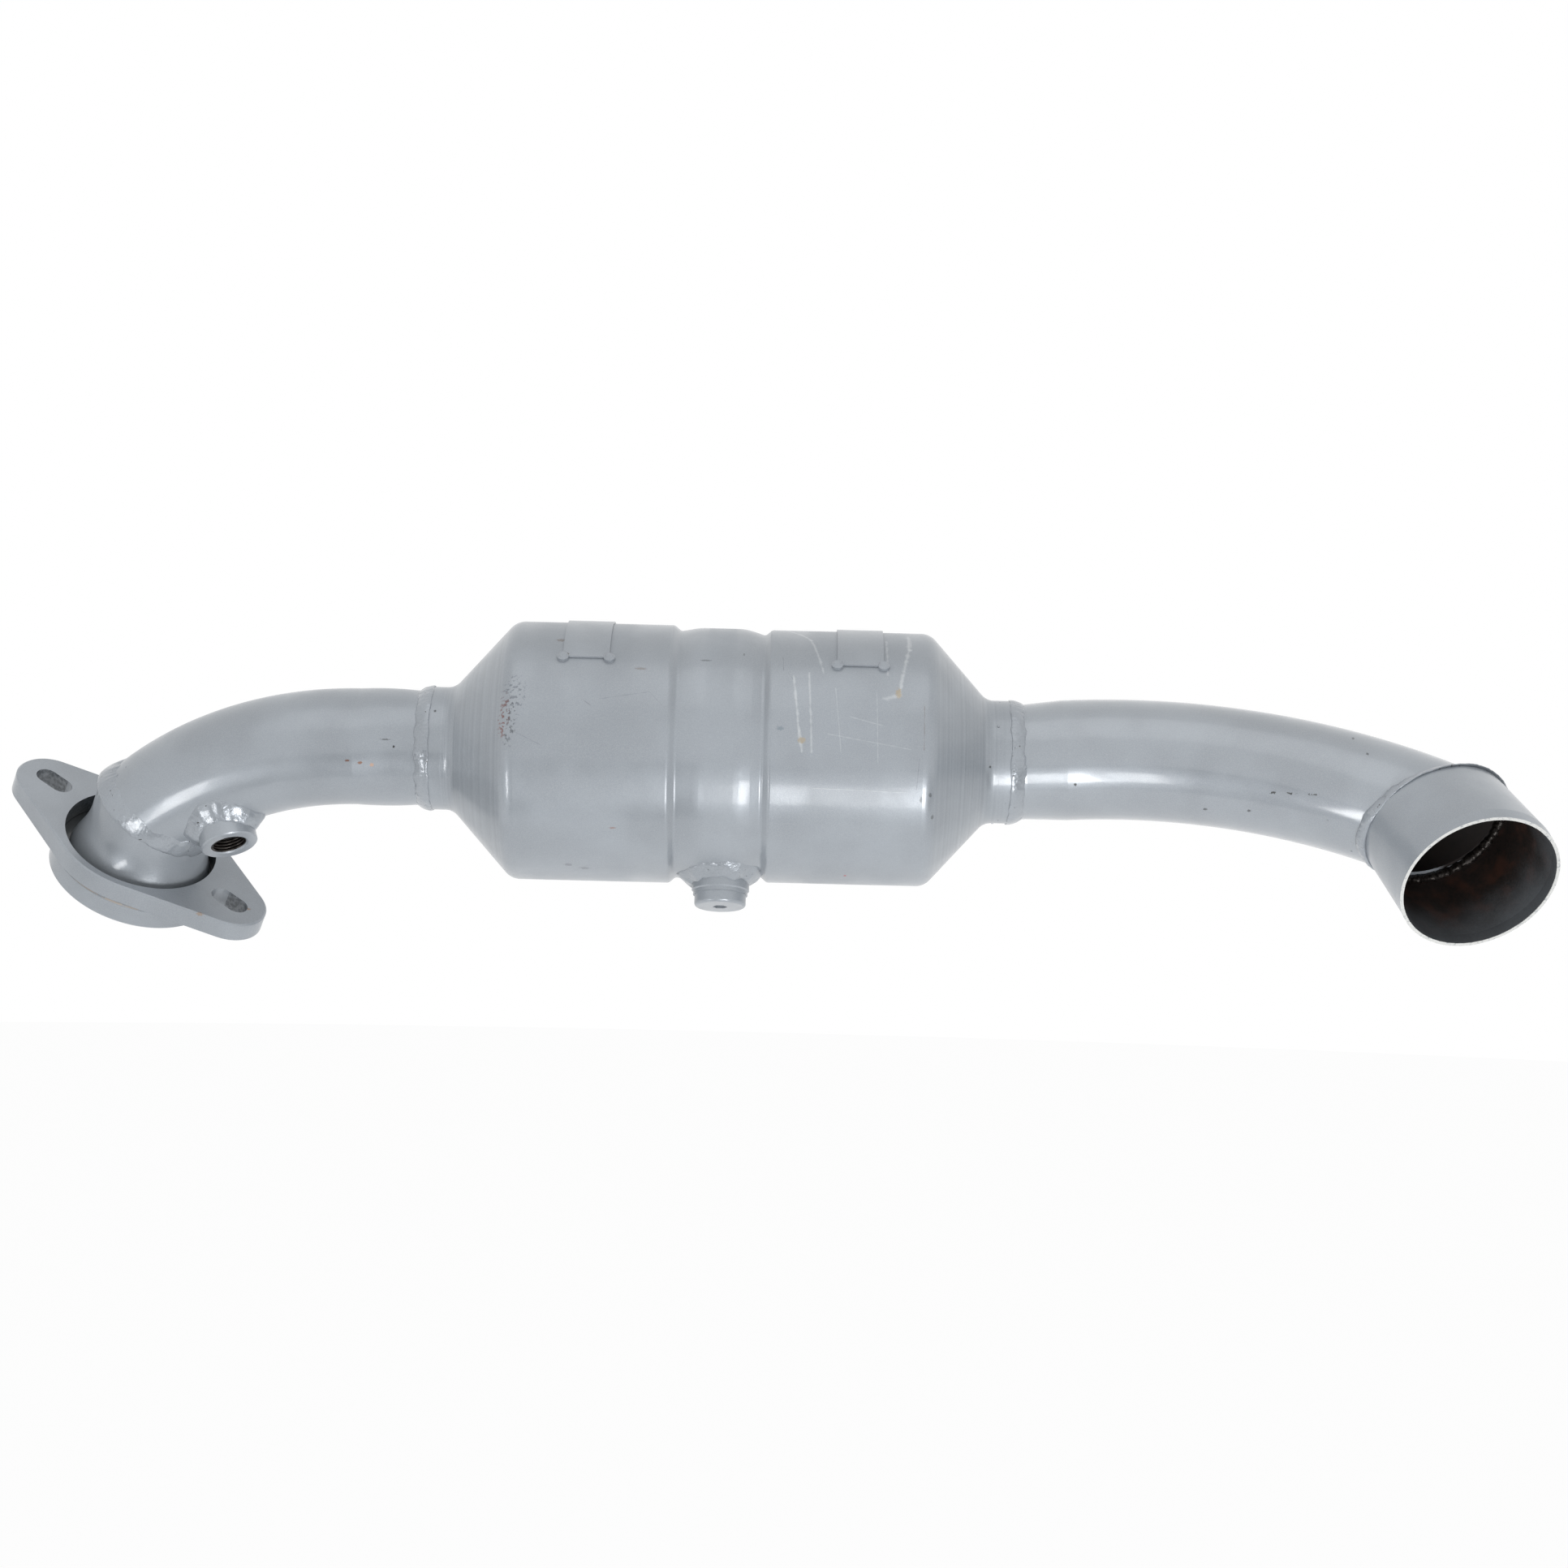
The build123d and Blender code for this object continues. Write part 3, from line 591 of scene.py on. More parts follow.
# Patches on the shell: colour, strength, centre and half sizes
SHELL_BLOTS = (
    ("#646A72", 0.7, (-94.5, 66), (6.5, 12.0)),
    ("#4C5056", 0.8, (-96.5, 78), (4.6, 13.0)),
    ("#74504E", 0.7, (-98.4, 74), (3.2, 12.0)),
    ("#7E5A55", 0.6, (-99.4, 80), (2.6, 8.0)),
    ("#6A5F55", 0.6, (-75.0, 33), (3.0, 1.6)),
    ("#6A5F55", 0.5, (-36.8, 51), (3.4, 1.0)),
    ("#A59A86", 0.8, (38.0, 83), (2.4, 1.8)),
    ("#A3967F", 0.8, (82.0, 60), (1.8, 3.5)),
    ("#7D8890", 0.8, (28.0, 78), (2.5, 1.2)),
    ("#A03034", 0.9, (60.0, 156.8), (0.9, 0.9)),
    ("#5A5E60", 0.7, (93.3, 108), (0.8, 2.2)),
    ("#5A5E60", 0.7, (97.4, 106), (1.0, 1.2)),
    ("#5A5E60", 0.7, (98.8, 117), (0.8, 1.8)),
    ("#5A5E60", 0.6, (-7.1, 44), (3.5, 0.7)),
    ("#5A5E60", 0.6, (10.4, 39), (0.7, 1.2)),
    ("#6A6E72", 0.5, (-69.3, 150), (2.4, 1.6)),
    ("#6A6E72", 0.5, (-61.9, 153), (3.0, 1.4)),
    ("#8A6A60", 0.7, (-48.0, 125), (2.0, 0.6)),
    ("#2E3032", 0.9, (-133.9, 54), (0.9, 1.6)),
    ("#2E3032", 0.8, (126.3, 95), (0.8, 1.2)),
)


# A welded tube sprayed outside only. Its bore keeps the brown-black scale of hot gas
# and a dusting of overspray near the open end.
def tube_paint(name, settings, point, way, mouth):
    """Paint outside a straight tube and scale inside it, with overspray near its mouth."""
    material, tree = start_material(name)
    place = place_in_mm(tree)
    colour, height, rough = paint_skin(tree, settings, place)
    spoke, run = from_axis(tree, place, point, way)
    within = facing_in(tree, spoke)
    depth = add(tree, "ShaderNodeMath", {0: mouth, 1: run}, operation="SUBTRACT")
    drops = add(tree, "ShaderNodeTexNoise", {"Vector": place, "Scale": 1 / 0.8, "Detail": 3.0})
    speckle = add(tree, "ShaderNodeMath", {0: drops, 1: 12.0}, operation="MULTIPLY")
    puffs = add(tree, "ShaderNodeTexNoise", {"Vector": place, "Scale": 1 / 16.0, "Detail": 3.0})
    cloud = add(tree, "ShaderNodeMath", {0: puffs, 1: 22.0}, operation="MULTIPLY")
    speckled = add(tree, "ShaderNodeMath", {0: depth, 1: speckle}, operation="ADD")
    clouded = add(tree, "ShaderNodeMath", {0: speckled, 1: cloud}, operation="ADD")
    dusted = add(tree, "ShaderNodeMapRange", {
        "Value": clouded, "From Min": 14, "From Max": 46, "To Min": 1.0, "To Max": 0.0,
    }, interpolation_type="SMOOTHSTEP")
    rust = rust_colour(tree, place)
    dark = add(tree, "ShaderNodeMix", {
        MASK: dusted, UNDER: rust, TOP: linear("#54585C"),
    }, out=MIXED, data_type="RGBA")
    colour = add(tree, "ShaderNodeMix", {
        MASK: within, UNDER: colour, TOP: dark,
    }, out=MIXED, data_type="RGBA")
    # The cut rim is bare and bright in most places
    edge = add(tree, "ShaderNodeMapRange", {
        "Value": depth, "From Min": 0.35, "From Max": 0.1,
    }, interpolation_type="SMOOTHSTEP")
    chips = add(tree, "ShaderNodeTexNoise", {"Vector": place, "Scale": 1 / 1.5, "Detail": 3.0})
    broken = add(tree, "ShaderNodeMapRange", {
        "Value": chips, "From Min": 0.2, "From Max": 0.5,
    }, interpolation_type="SMOOTHSTEP")
    rim = add(tree, "ShaderNodeMath", {0: edge, 1: broken}, operation="MULTIPLY")
    colour = add(tree, "ShaderNodeMix", {
        MASK: rim, UNDER: colour, TOP: linear("#D5D6D4"),
    }, out=MIXED, data_type="RGBA")
    scaled = add(tree, "ShaderNodeMapRange", {
        "Value": within, "From Min": 0, "From Max": 1, "To Min": 0.0, "To Max": 0.2,
    }, interpolation_type="SMOOTHSTEP")
    rough = add(tree, "ShaderNodeMath", {0: rough, 1: scaled}, operation="ADD")
    finish_paint(tree, settings, colour, height, rough, within)
    return material


# Flame-cut plate under the paint: fine upright striations on its cut edge, and thin, dark paint
# on the walls of its bore and slots, where the spray came in at a slant, plus painted shade.
def plate_paint(settings, marks):
    """Paint on the flange, with thin paint and painted shade on the walls of its holes."""
    material, tree = start_material("aluminium_paint_on_cut_plate")
    place = place_in_mm(tree)
    colour, height, rough = paint_skin(tree, settings, place)
    colour = marked(tree, place, colour, marks)
    spoke = from_axis(tree, place, (0, 0, 0), inlet_heading)[0]
    reach = add(tree, "ShaderNodeVectorMath", {0: spoke}, out="Value", operation="LENGTH")
    speckle = add(tree, "ShaderNodeTexNoise", {"Vector": place, "Scale": 1 / 1.6, "Detail": 4.0})
    grit = add(tree, "ShaderNodeMapRange", {
        "Value": speckle, "From Min": 0.35, "From Max": 0.7,
    }, interpolation_type="SMOOTHSTEP")
    # The hole walls are darker for thin paint and for painted shade in these recesses
    bore = add(tree, "ShaderNodeMix", {
        MASK: grit, UNDER: linear("#3E4448"), TOP: linear("#5B6064"),
    }, out=MIXED, data_type="RGBA")
    slot = add(tree, "ShaderNodeMix", {
        MASK: grit, UNDER: linear("#5C6166"), TOP: linear("#868B90"),
    }, out=MIXED, data_type="RGBA")
    past_rim = add(tree, "ShaderNodeMapRange", {
        "Value": reach, "From Min": FLANGE_RIM_RADIUS, "From Max": FLANGE_RIM_RADIUS + 2,
    }, interpolation_type="SMOOTHSTEP")
    dark = add(tree, "ShaderNodeMix", {
        MASK: past_rim, UNDER: bore, TOP: slot,
    }, out=MIXED, data_type="RGBA")
    walls = facing_in(tree, spoke)
    colour = add(tree, "ShaderNodeMix", {
        MASK: walls, UNDER: colour, TOP: dark,
    }, out=MIXED, data_type="RGBA")
    flat = add(tree, "ShaderNodeVectorMath", {0: place, 1: cut_way}, operation="MULTIPLY")
    cut = add(tree, "ShaderNodeTexNoise", {"Vector": flat, "Scale": 1 / 1.1, "Detail": 3.0})
    lines = add(tree, "ShaderNodeMath", {0: cut, 1: 0.12}, operation="MULTIPLY")
    height = add(tree, "ShaderNodeMath", {0: height, 1: lines}, operation="ADD")
    finish_paint(tree, settings, colour, height, rough)
    return material


# The ring's inner top face, deep in the flange's bore, has hardly any paint, and painted shade
# darkens it further where the flange closes round it.
def ring_paint(settings):
    """Paint on the seat ring, thin and darkened with painted shade on the face inside the flange."""
    material, tree = start_material("aluminium_paint_on_turned_ring")
    place = place_in_mm(tree)
    colour, height, rough = paint_skin(tree, settings, place)
    spoke, run = from_axis(tree, place, (0, 0, 0), inlet_heading)
    reach = add(tree, "ShaderNodeVectorMath", {0: spoke}, out="Value", operation="LENGTH")
    top = add(tree, "ShaderNodeMapRange", {
        "Value": run, "From Min": 9.6, "From Max": 10.2,
    }, interpolation_type="SMOOTHSTEP")
    bore = add(tree, "ShaderNodeMapRange", {
        "Value": reach, "From Min": FLANGE_RIM_RADIUS + 0.6, "From Max": FLANGE_RIM_RADIUS - 0.2,
    }, interpolation_type="SMOOTHSTEP")
    # Thin paint and painted shade darken the ring's top face inside the flange's bore
    thin = add(tree, "ShaderNodeMath", {0: top, 1: bore}, operation="MULTIPLY")
    colour = add(tree, "ShaderNodeMix", {
        MASK: thin, UNDER: colour, TOP: linear("#2B3033"),
    }, out=MIXED, data_type="RGBA")
    # The paint that bridged the ring and the flange has cracked and shows rust
    joint = add(tree, "ShaderNodeMapRange", {
        "Value": run, "From Min": 9.7, "From Max": 10.1,
    }, interpolation_type="SMOOTHSTEP")
    outside = add(tree, "ShaderNodeMapRange", {
        "Value": bore, "From Min": 1, "From Max": 0,
    }, interpolation_type="SMOOTHSTEP")
    crack = add(tree, "ShaderNodeMath", {0: joint, 1: outside}, operation="MULTIPLY")
    chips = add(tree, "ShaderNodeTexNoise", {"Vector": place, "Scale": 1 / 5.0, "Detail": 5.0})
    broken = add(tree, "ShaderNodeMapRange", {
        "Value": chips, "From Min": 0.36, "From Max": 0.46,
    }, interpolation_type="SMOOTHSTEP")
    rust_line = add(tree, "ShaderNodeMath", {0: crack, 1: broken}, operation="MULTIPLY")
    colour = add(tree, "ShaderNodeMix", {
        MASK: rust_line, UNDER: colour, TOP: linear("#B0A8A0"),
    }, out=MIXED, data_type="RGBA")
    turned = add(tree, "ShaderNodeMath", {0: run, 1: 1.6}, operation="MULTIPLY")
    lathe = add(tree, "ShaderNodeTexNoise", {"W": turned, "Detail": 3.0}, noise_dimensions="1D")
    lines = add(tree, "ShaderNodeMath", {0: lathe, 1: 0.06}, operation="MULTIPLY")
    height = add(tree, "ShaderNodeMath", {0: height, 1: lines}, operation="ADD")
    finish_paint(tree, settings, colour, height, rough)
    return material


# The outlet pipe's bore, which the spray never reached, is black with soot.
def bend_paint(settings, marks):
    """Paint outside the bent outlet pipe and soot inside it."""
    material, tree = start_material("aluminium_paint_on_outlet_pipe")
    place = place_in_mm(tree)
    colour, height, rough = paint_skin(tree, settings, place)
    colour = marked(tree, place, colour, marks)
    bore = inside_bend(tree, place, bend_centre / MM, bend_normal, OUTLET_RADIUS)
    # The first part of the pipe is straight, and its bore can't be seen
    length = add(tree, "ShaderNodeSeparateXYZ", {0: place}, out="X")
    curved = add(tree, "ShaderNodeMapRange", {
        "Value": length, "From Min": OUTLET_BEND_START, "From Max": OUTLET_BEND_START + 10,
    }, interpolation_type="SMOOTHSTEP")
    within = add(tree, "ShaderNodeMath", {0: bore, 1: curved}, operation="MULTIPLY")
    smoke = add(tree, "ShaderNodeTexNoise", {"Vector": place, "Scale": 1 / 4.0, "Detail": 4.0})
    soot = add(tree, "ShaderNodeMix", {
        MASK: smoke, UNDER: linear("#060505"), TOP: linear("#1C1310"),
    }, out=MIXED, data_type="RGBA")
    colour = add(tree, "ShaderNodeMix", {
        MASK: within, UNDER: colour, TOP: soot,
    }, out=MIXED, data_type="RGBA")
    sooty = add(tree, "ShaderNodeMapRange", {
        "Value": within, "From Min": 0, "From Max": 1, "To Min": 0.0, "To Max": 0.3,
    }, interpolation_type="SMOOTHSTEP")
    rough = add(tree, "ShaderNodeMath", {0: rough, 1: sooty}, operation="ADD")
    finish_paint(tree, settings, colour, height, rough, within, 1.8)
    return material


# Weld metal under the same paint. Its lumps and ripples are in the mesh. The colour is darker
# in the hollows, and soot and rust show in pinholes.
def weld_paint(settings, pinhole):
    """Aluminium paint over weld beads, darker in the hollows, with one pinhole."""
    material, tree = start_material("aluminium_paint_on_weld")
    place = place_in_mm(tree)
    colour, height, rough = paint_skin(tree, settings, place)
    pointed = add(tree, "ShaderNodeNewGeometry", out="Pointiness")
    hollow = add(tree, "ShaderNodeMapRange", {
        "Value": pointed, "From Min": 0.47, "From Max": 0.40,
    }, interpolation_type="SMOOTHSTEP")
    # The colour is darker where the bead is concave
    hollow_darkening = add(tree, "ShaderNodeMath", {0: hollow, 1: 0.5}, operation="MULTIPLY")
    colour = add(tree, "ShaderNodeMix", {
        MASK: hollow_darkening, UNDER: colour, TOP: linear("#4E5052"),
    }, out=MIXED, data_type="RGBA")
    bubbles = add(tree, "ShaderNodeTexNoise", {"Vector": place, "Scale": 1 / 1.6, "Detail": 1.0})
    pits = add(tree, "ShaderNodeMapRange", {
        "Value": bubbles, "From Min": 0.73, "From Max": 0.78,
    }, interpolation_type="SMOOTHSTEP")
    colour = add(tree, "ShaderNodeMix", {
        MASK: pits, UNDER: colour, TOP: linear("#3B3733"),
    }, out=MIXED, data_type="RGBA")
    colour = marked(tree, place, colour, (("#0A0A0A", pinhole, (0.8, 0.8, 0.8)),))
    grit = add(tree, "ShaderNodeTexNoise", {"Vector": place, "Scale": 1 / 1.4, "Detail": 3.0})
    fine = add(tree, "ShaderNodeMath", {0: grit, 1: 0.25}, operation="MULTIPLY")
    sunk = add(tree, "ShaderNodeMath", {0: pits, 1: -0.3}, operation="MULTIPLY")
    height = add(tree, "ShaderNodeMath", {0: height, 1: fine}, operation="ADD")
    height = add(tree, "ShaderNodeMath", {0: height, 1: sunk}, operation="ADD")
    rough = add(tree, "ShaderNodeMapRange", {
        "Value": rough, "From Min": 0.36, "From Max": 0.46, "To Min": 0.26, "To Max": 0.34,
    }, interpolation_type="SMOOTHSTEP")
    finish_paint(tree, settings, colour, height, rough)
    return material


# Steel that was never painted: root welds with lumps and brown scale, and cut threads,
# which are as dark but even.
def dark_steel(name, lump_size, depth):
    """Bare dark steel whose lumps have a size and a depth in millimetres."""
    material, tree = start_material(name)
    place = place_in_mm(tree)
    lumps = add(tree, "ShaderNodeTexNoise", {"Vector": place, "Scale": 1 / lump_size, "Detail": 4.0})
    crests = add(tree, "ShaderNodeMapRange", {
        "Value": lumps, "From Min": 0.4, "From Max": 0.65,
    }, interpolation_type="SMOOTHSTEP")
    colour = add(tree, "ShaderNodeMix", {
        MASK: crests, UNDER: linear("#1A1513"), TOP: linear("#3E3A37"),
    }, out=MIXED, data_type="RGBA")
    relief = add(tree, "ShaderNodeBump", {"Height": lumps, "Distance": depth * MM})
    shader = add(tree, "ShaderNodeBsdfPrincipled", {
        "Base Color": colour, "Metallic": 0.6, "Roughness": 0.36, "Normal": relief,
    })
    add(tree, "ShaderNodeOutputMaterial", {"Surface": shader})
    return material


# Extruded cordierite, a cream ceramic. Its square channels are drawn as a pattern on the
# ends, at their real spacing, because the CAD brick is solid, and painted dark as the shade
# inside them.
def brick_ceramic():
    """The bricks' honeycomb, as cells painted dark as their inner shade, in cream walls."""
    material, tree = start_material("cordierite_honeycomb")
    place = place_in_mm(tree)
    parts = add(tree, "ShaderNodeSeparateXYZ", {0: place}).node
    cells = []
    for axis in ("Y", "Z"):
        count = add(tree, "ShaderNodeMath", {0: parts.outputs[axis], 1: CELL_PITCH}, operation="DIVIDE")
        step = add(tree, "ShaderNodeMath", {0: count, 1: 0.0}, operation="FRACT")
        cells.append(
            add(tree, "ShaderNodeMapRange", {
                "Value": step, "From Min": 0.12, "From Max": 0.2,
            }, interpolation_type="SMOOTHSTEP"),
        )
    hollow = add(tree, "ShaderNodeMath", {0: cells[0], 1: cells[1]}, operation="MULTIPLY")
    clay = add(tree, "ShaderNodeTexNoise", {"Vector": place, "Scale": 1 / 12.0, "Detail": 4.0})
    tint = add(tree, "ShaderNodeMix", {
        MASK: clay, UNDER: linear("#CDBF9E"), TOP: linear("#B9A680"),
    }, out=MIXED, data_type="RGBA")
    # The channel openings are painted dark, as the shade deep inside them
    colour = add(tree, "ShaderNodeMix", {
        MASK: hollow, UNDER: tint, TOP: linear("#3A3226"),
    }, out=MIXED, data_type="RGBA")
    relief = add(tree, "ShaderNodeBump", {"Height": hollow, "Distance": -0.4 * MM})
    shader = add(tree, "ShaderNodeBsdfPrincipled", {
        "Base Color": colour, "Roughness": 0.85, "Normal": relief,
    })
    add(tree, "ShaderNodeOutputMaterial", {"Surface": shader})
    return material


# Needled ceramic fibre mat, off-white and matt, with a tangle of fibres a few mm long.
def fibre_mat():
    """The mats' tangled fibres."""
    material, tree = start_material("ceramic_fibre_mat")
    place = place_in_mm(tree)
    tangle = add(tree, "ShaderNodeTexNoise", {
        "Vector": place, "Scale": 0.6, "Detail": 8.0, "Distortion": 3.0,
    })
    strands = add(tree, "ShaderNodeMapRange", {
        "Value": tangle, "From Min": 0.3, "From Max": 0.7,
    }, interpolation_type="SMOOTHSTEP")
    colour = add(tree, "ShaderNodeMix", {
        MASK: strands, UNDER: linear("#B8B0A0"), TOP: linear("#E4DED0"),
    }, out=MIXED, data_type="RGBA")
    relief = add(tree, "ShaderNodeBump", {"Height": tangle, "Distance": 0.5 * MM})
    shader = add(tree, "ShaderNodeBsdfPrincipled", {
        "Base Color": colour, "Roughness": 0.95, "Normal": relief,
    })
    add(tree, "ShaderNodeOutputMaterial", {"Surface": shader})
    return material


# Making meshes


def lump(point, size, seed):
    """Smooth noise between -1 and 1 whose lumps are a size in millimetres."""
    return noise.noise(point / (size * MM) + Vector((seed, seed * 1.7, -seed)))


def make_piece(name, mesh, material, body="converter"):
    """An object that rides on a body and takes the paint's slot."""
    for face in mesh.polygons:
        face.use_smooth = True
    mesh.materials.clear()
    mesh.materials.append(material)
    made = bpy.data.objects.new(name, mesh)
    bpy.context.scene.collection.objects.link(made)
    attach(made, body)
    return made


def finished(name, form):
    """The mesh of a form, with its faces outwards."""
    bmesh.ops.recalc_face_normals(form, faces=form.faces)
    mesh = bpy.data.meshes.new(name)
    form.to_mesh(mesh)
    form.free()
    return mesh


def ring_skin(name, rings):
    """A closed mesh through a loop of rings of points."""
    form = bmesh.new()
    loops = [[form.verts.new(point) for point in ring] for ring in rings]
    for one, two in zip(loops, loops[1:] + loops[:1]):
        for i, corner in enumerate(one):
            j = (i + 1) % len(one)
            form.faces.new((corner, one[j], two[j], two[i]))
    return finished(name, form)


def hump(toe_a, toe_b, crest, under, shape):
    """One ring of a bead: an arch from toe to toe over the crest, closed underneath."""
    centre = (toe_a + toe_b) / 2
    lift = crest - centre
    ring = []
    for k in range(ARCH_STEPS + 1):
        turn = math.pi * k / ARCH_STEPS
        point = centre + (toe_a - toe_b) / 2 * math.cos(turn) + lift * math.sin(turn) ** 0.8
        point += lift.normalized() * shape(point, turn) * math.sin(turn)
        ring.append(point)
    ring.append(under)
    return ring


def spokes(way, steps, seed):
    """Even directions round a way, each with a point of its own for smooth noise."""
    side = way.cross(Vector((0.3, 0.2, 0.9))).normalized()
    up = way.cross(side).normalized()
    found = []
    for i in range(steps):
        turn = 2 * math.pi * i / steps
        out = side * math.cos(turn) + up * math.sin(turn)
        found.append((out, Vector((math.cos(turn), math.sin(turn), seed))))
    return found


def evened(values, span=7):
    """A loop of numbers, each the mean of itself and its neighbours."""
    count = len(values)
    return [
        sum(values[(i + k) % count] for k in range(-span, span + 1)) / (2 * span + 1)
        for i in range(count)
    ]


def seam_bead(
    name, tree, centre, way, reach, rise, ripples, seed, lumps, blobs=(), rough_side=None,
    ripple_height=0.09,
):
    """A bead round a joint, reaching along way by reach[0] and back by reach[1], in mm.

    rise is its height over the tubes, lumps the height of its lumps and ripples their
    number. blobs are extra lumps, each a place, a width and a height. rough_side is the
    direction in which the bead was welded least evenly.
    """
    slices = []
    for out, sway in spokes(way, SEAM_STEPS, seed):
        front = reach[0] * (1 + 0.28 * noise.noise(sway * 5.0) + 0.14 * noise.noise(sway * 17.0))
        back = reach[1] * (1 + 0.28 * noise.noise(sway * 6.0 + Vector((3, 1, 2))))
        slices.append((out, sway, (front, 0.0, -back)))
    # The CAD surface has flat facets, so the heights found on it are evened out
    heights = []
    for k in range(3):
        found = [
            (touch(tree, centre + out * TUBE_CLEAR * MM + way * edges[k] * MM, -out) - centre).dot(out)
            for out, sway, edges in slices
        ]
        heights.append(evened(found))
    rings = []
    for i, (out, sway, edges) in enumerate(slices):
        swell = rise * (1 + 0.35 * noise.noise(sway * 4.0 + Vector((7, 0, 0))))
        for spot, width, height in blobs:
            off = (Vector(spot) * MM - centre).normalized() - out
            swell += height * math.exp(-((off.length * 30 / width) ** 2))
        wave = math.pi * ripples * i / SEAM_STEPS
        uneven = 1.0
        if rough_side:
            uneven = 0.12 + 0.98 * max(0.0, out.dot(rough_side.normalized())) ** 3

        def shape(point, arch, wave=wave, uneven=uneven):
            chevron = abs(math.sin(wave + 0.7 * math.sin(arch)))
            coarse = lump(point, 4.2, seed) + 0.5 * lump(point, 1.7, seed)
            return (coarse * lumps + (chevron - 0.6) * ripple_height) * uneven * MM

        toe_a = centre + way * edges[0] * MM + out * (heights[0][i] - 0.3 * MM)
        toe_b = centre + way * edges[2] * MM + out * (heights[2][i] - 0.3 * MM)
        peak = max(level[i] for level in heights)
        crest = centre + out * (peak + swell * MM)
        under = (toe_a + toe_b) / 2 - out * 1.2 * MM
        rings.append(hump(toe_a, toe_b, crest, under, shape))
    return ring_skin(name, rings)


def root_bead(name, tree, centre, way, seed):
    """The rough bead that came through to the inside of a tube's joint."""
    rings = []
    for out, sway in spokes(way, BOSS_STEPS, seed):
        reach = 2.6 * (1 + 0.4 * noise.noise(sway * 8.0))
        wall = touch(tree, centre + way * (1.5 + reach) * MM, out)
        base = wall - way * reach * MM
        core = base - out * 0.9 * MM
        width = 1.7 * (1 + 0.35 * noise.noise(sway * 14.0)) * MM
        ring = []
        for k in range(ROOT_STEPS):
            arch = 2 * math.pi * k / ROOT_STEPS
            point = core + (out * math.cos(arch) + way * 1.3 * math.sin(arch)) * width
            ring.append(point + (point - core).normalized() * lump(point, 1.5, seed) * 0.5 * MM)
        rings.append(ring)
    return ring_skin(name, rings)


def boss_bead(name, tree, centre, way, reach, height, seed):
    """A flared bead between a boss and the wall that it stands on."""
    slices = []
    for out, sway in spokes(way, BOSS_STEPS, seed):
        edge = reach * (1 + 0.3 * noise.noise(sway * 2.6) + 0.05 * noise.noise(sway * 6.0))
        climb = height * (1 + 0.3 * noise.noise(sway * 3.1 + Vector((4, 2, 0))))
        slices.append((out, edge, climb))
    high = centre + way * BOSS_CLEAR * MM

    def level(out, away):
        return (touch(tree, high + out * (BOSS_RADIUS + away) * MM, -way) - centre).dot(way)

    def shape(point, arch):
        return (lump(point, 6.0, seed) * 0.5 + lump(point, 2.4, seed) * 0.125) * MM

    toes = evened([level(out, edge) for out, edge, climb in slices])
    roots = evened([level(out, 0.3) for out, edge, climb in slices])
    rings = []
    for i, (out, edge, climb) in enumerate(slices):
        toe_a = centre + out * (BOSS_RADIUS + edge) * MM + way * (toes[i] - 0.4 * MM)
        root = centre + out * (BOSS_RADIUS + 0.3) * MM + way * roots[i]
        toe_b = root + way * climb * MM - out * 0.5 * MM
        crest = (toe_a + toe_b) / 2 + (out + way) * 0.5 * MM
        under = root - (out * 0.6 + way * 1.0) * MM
        rings.append(hump(toe_a, toe_b, crest, under, shape))
    return ring_skin(name, rings)


def run_tree(name, tree, source, values):
    """The mesh that a Geometry Nodes tree makes of a source mesh."""
    holder = bpy.data.objects.new(name + "_source", source)
    bpy.context.scene.collection.objects.link(holder)
    modifier = holder.modifiers.new("shape", "NODES")
    modifier.node_group = tree
    sockets = {s.name: s.identifier for s in tree.interface.items_tree if s.in_out == "INPUT"}
    for key, value in values.items():
        modifier[sockets[key]] = value
    graph = bpy.context.evaluated_depsgraph_get()
    mesh = bpy.data.meshes.new_from_object(holder.evaluated_get(graph))
    mesh.name = name
    holder.modifiers.remove(modifier)
    bpy.data.objects.remove(holder)
    return mesh


def start_tree(name, sockets):
    """A Geometry Nodes tree with named inputs, its group input and its group output."""
    tree = bpy.data.node_groups.new(name, "GeometryNodeTree")
    tree.interface.new_socket("Geometry", in_out="OUTPUT", socket_type="NodeSocketGeometry")
    tree.interface.new_socket("Geometry", in_out="INPUT", socket_type="NodeSocketGeometry")
    for key, kind, value in sockets:
        made = tree.interface.new_socket(key, in_out="INPUT", socket_type=kind)
        if value is not None:
            made.default_value = value
    return tree, tree.nodes.new("NodeGroupInput"), tree.nodes.new("NodeGroupOutput")


def close_tree(tree, result, given, output):
    """Ends a tree in Realize Instances and Set Material."""
    real = add(tree, "GeometryNodeRealizeInstances", {0: result})
    smooth = add(tree, "GeometryNodeSetShadeSmooth", {0: real})
    done = add(tree, "GeometryNodeSetMaterial", {0: smooth, "Material": given.outputs["Material"]})
    tree.links.new(done, output.inputs[0])


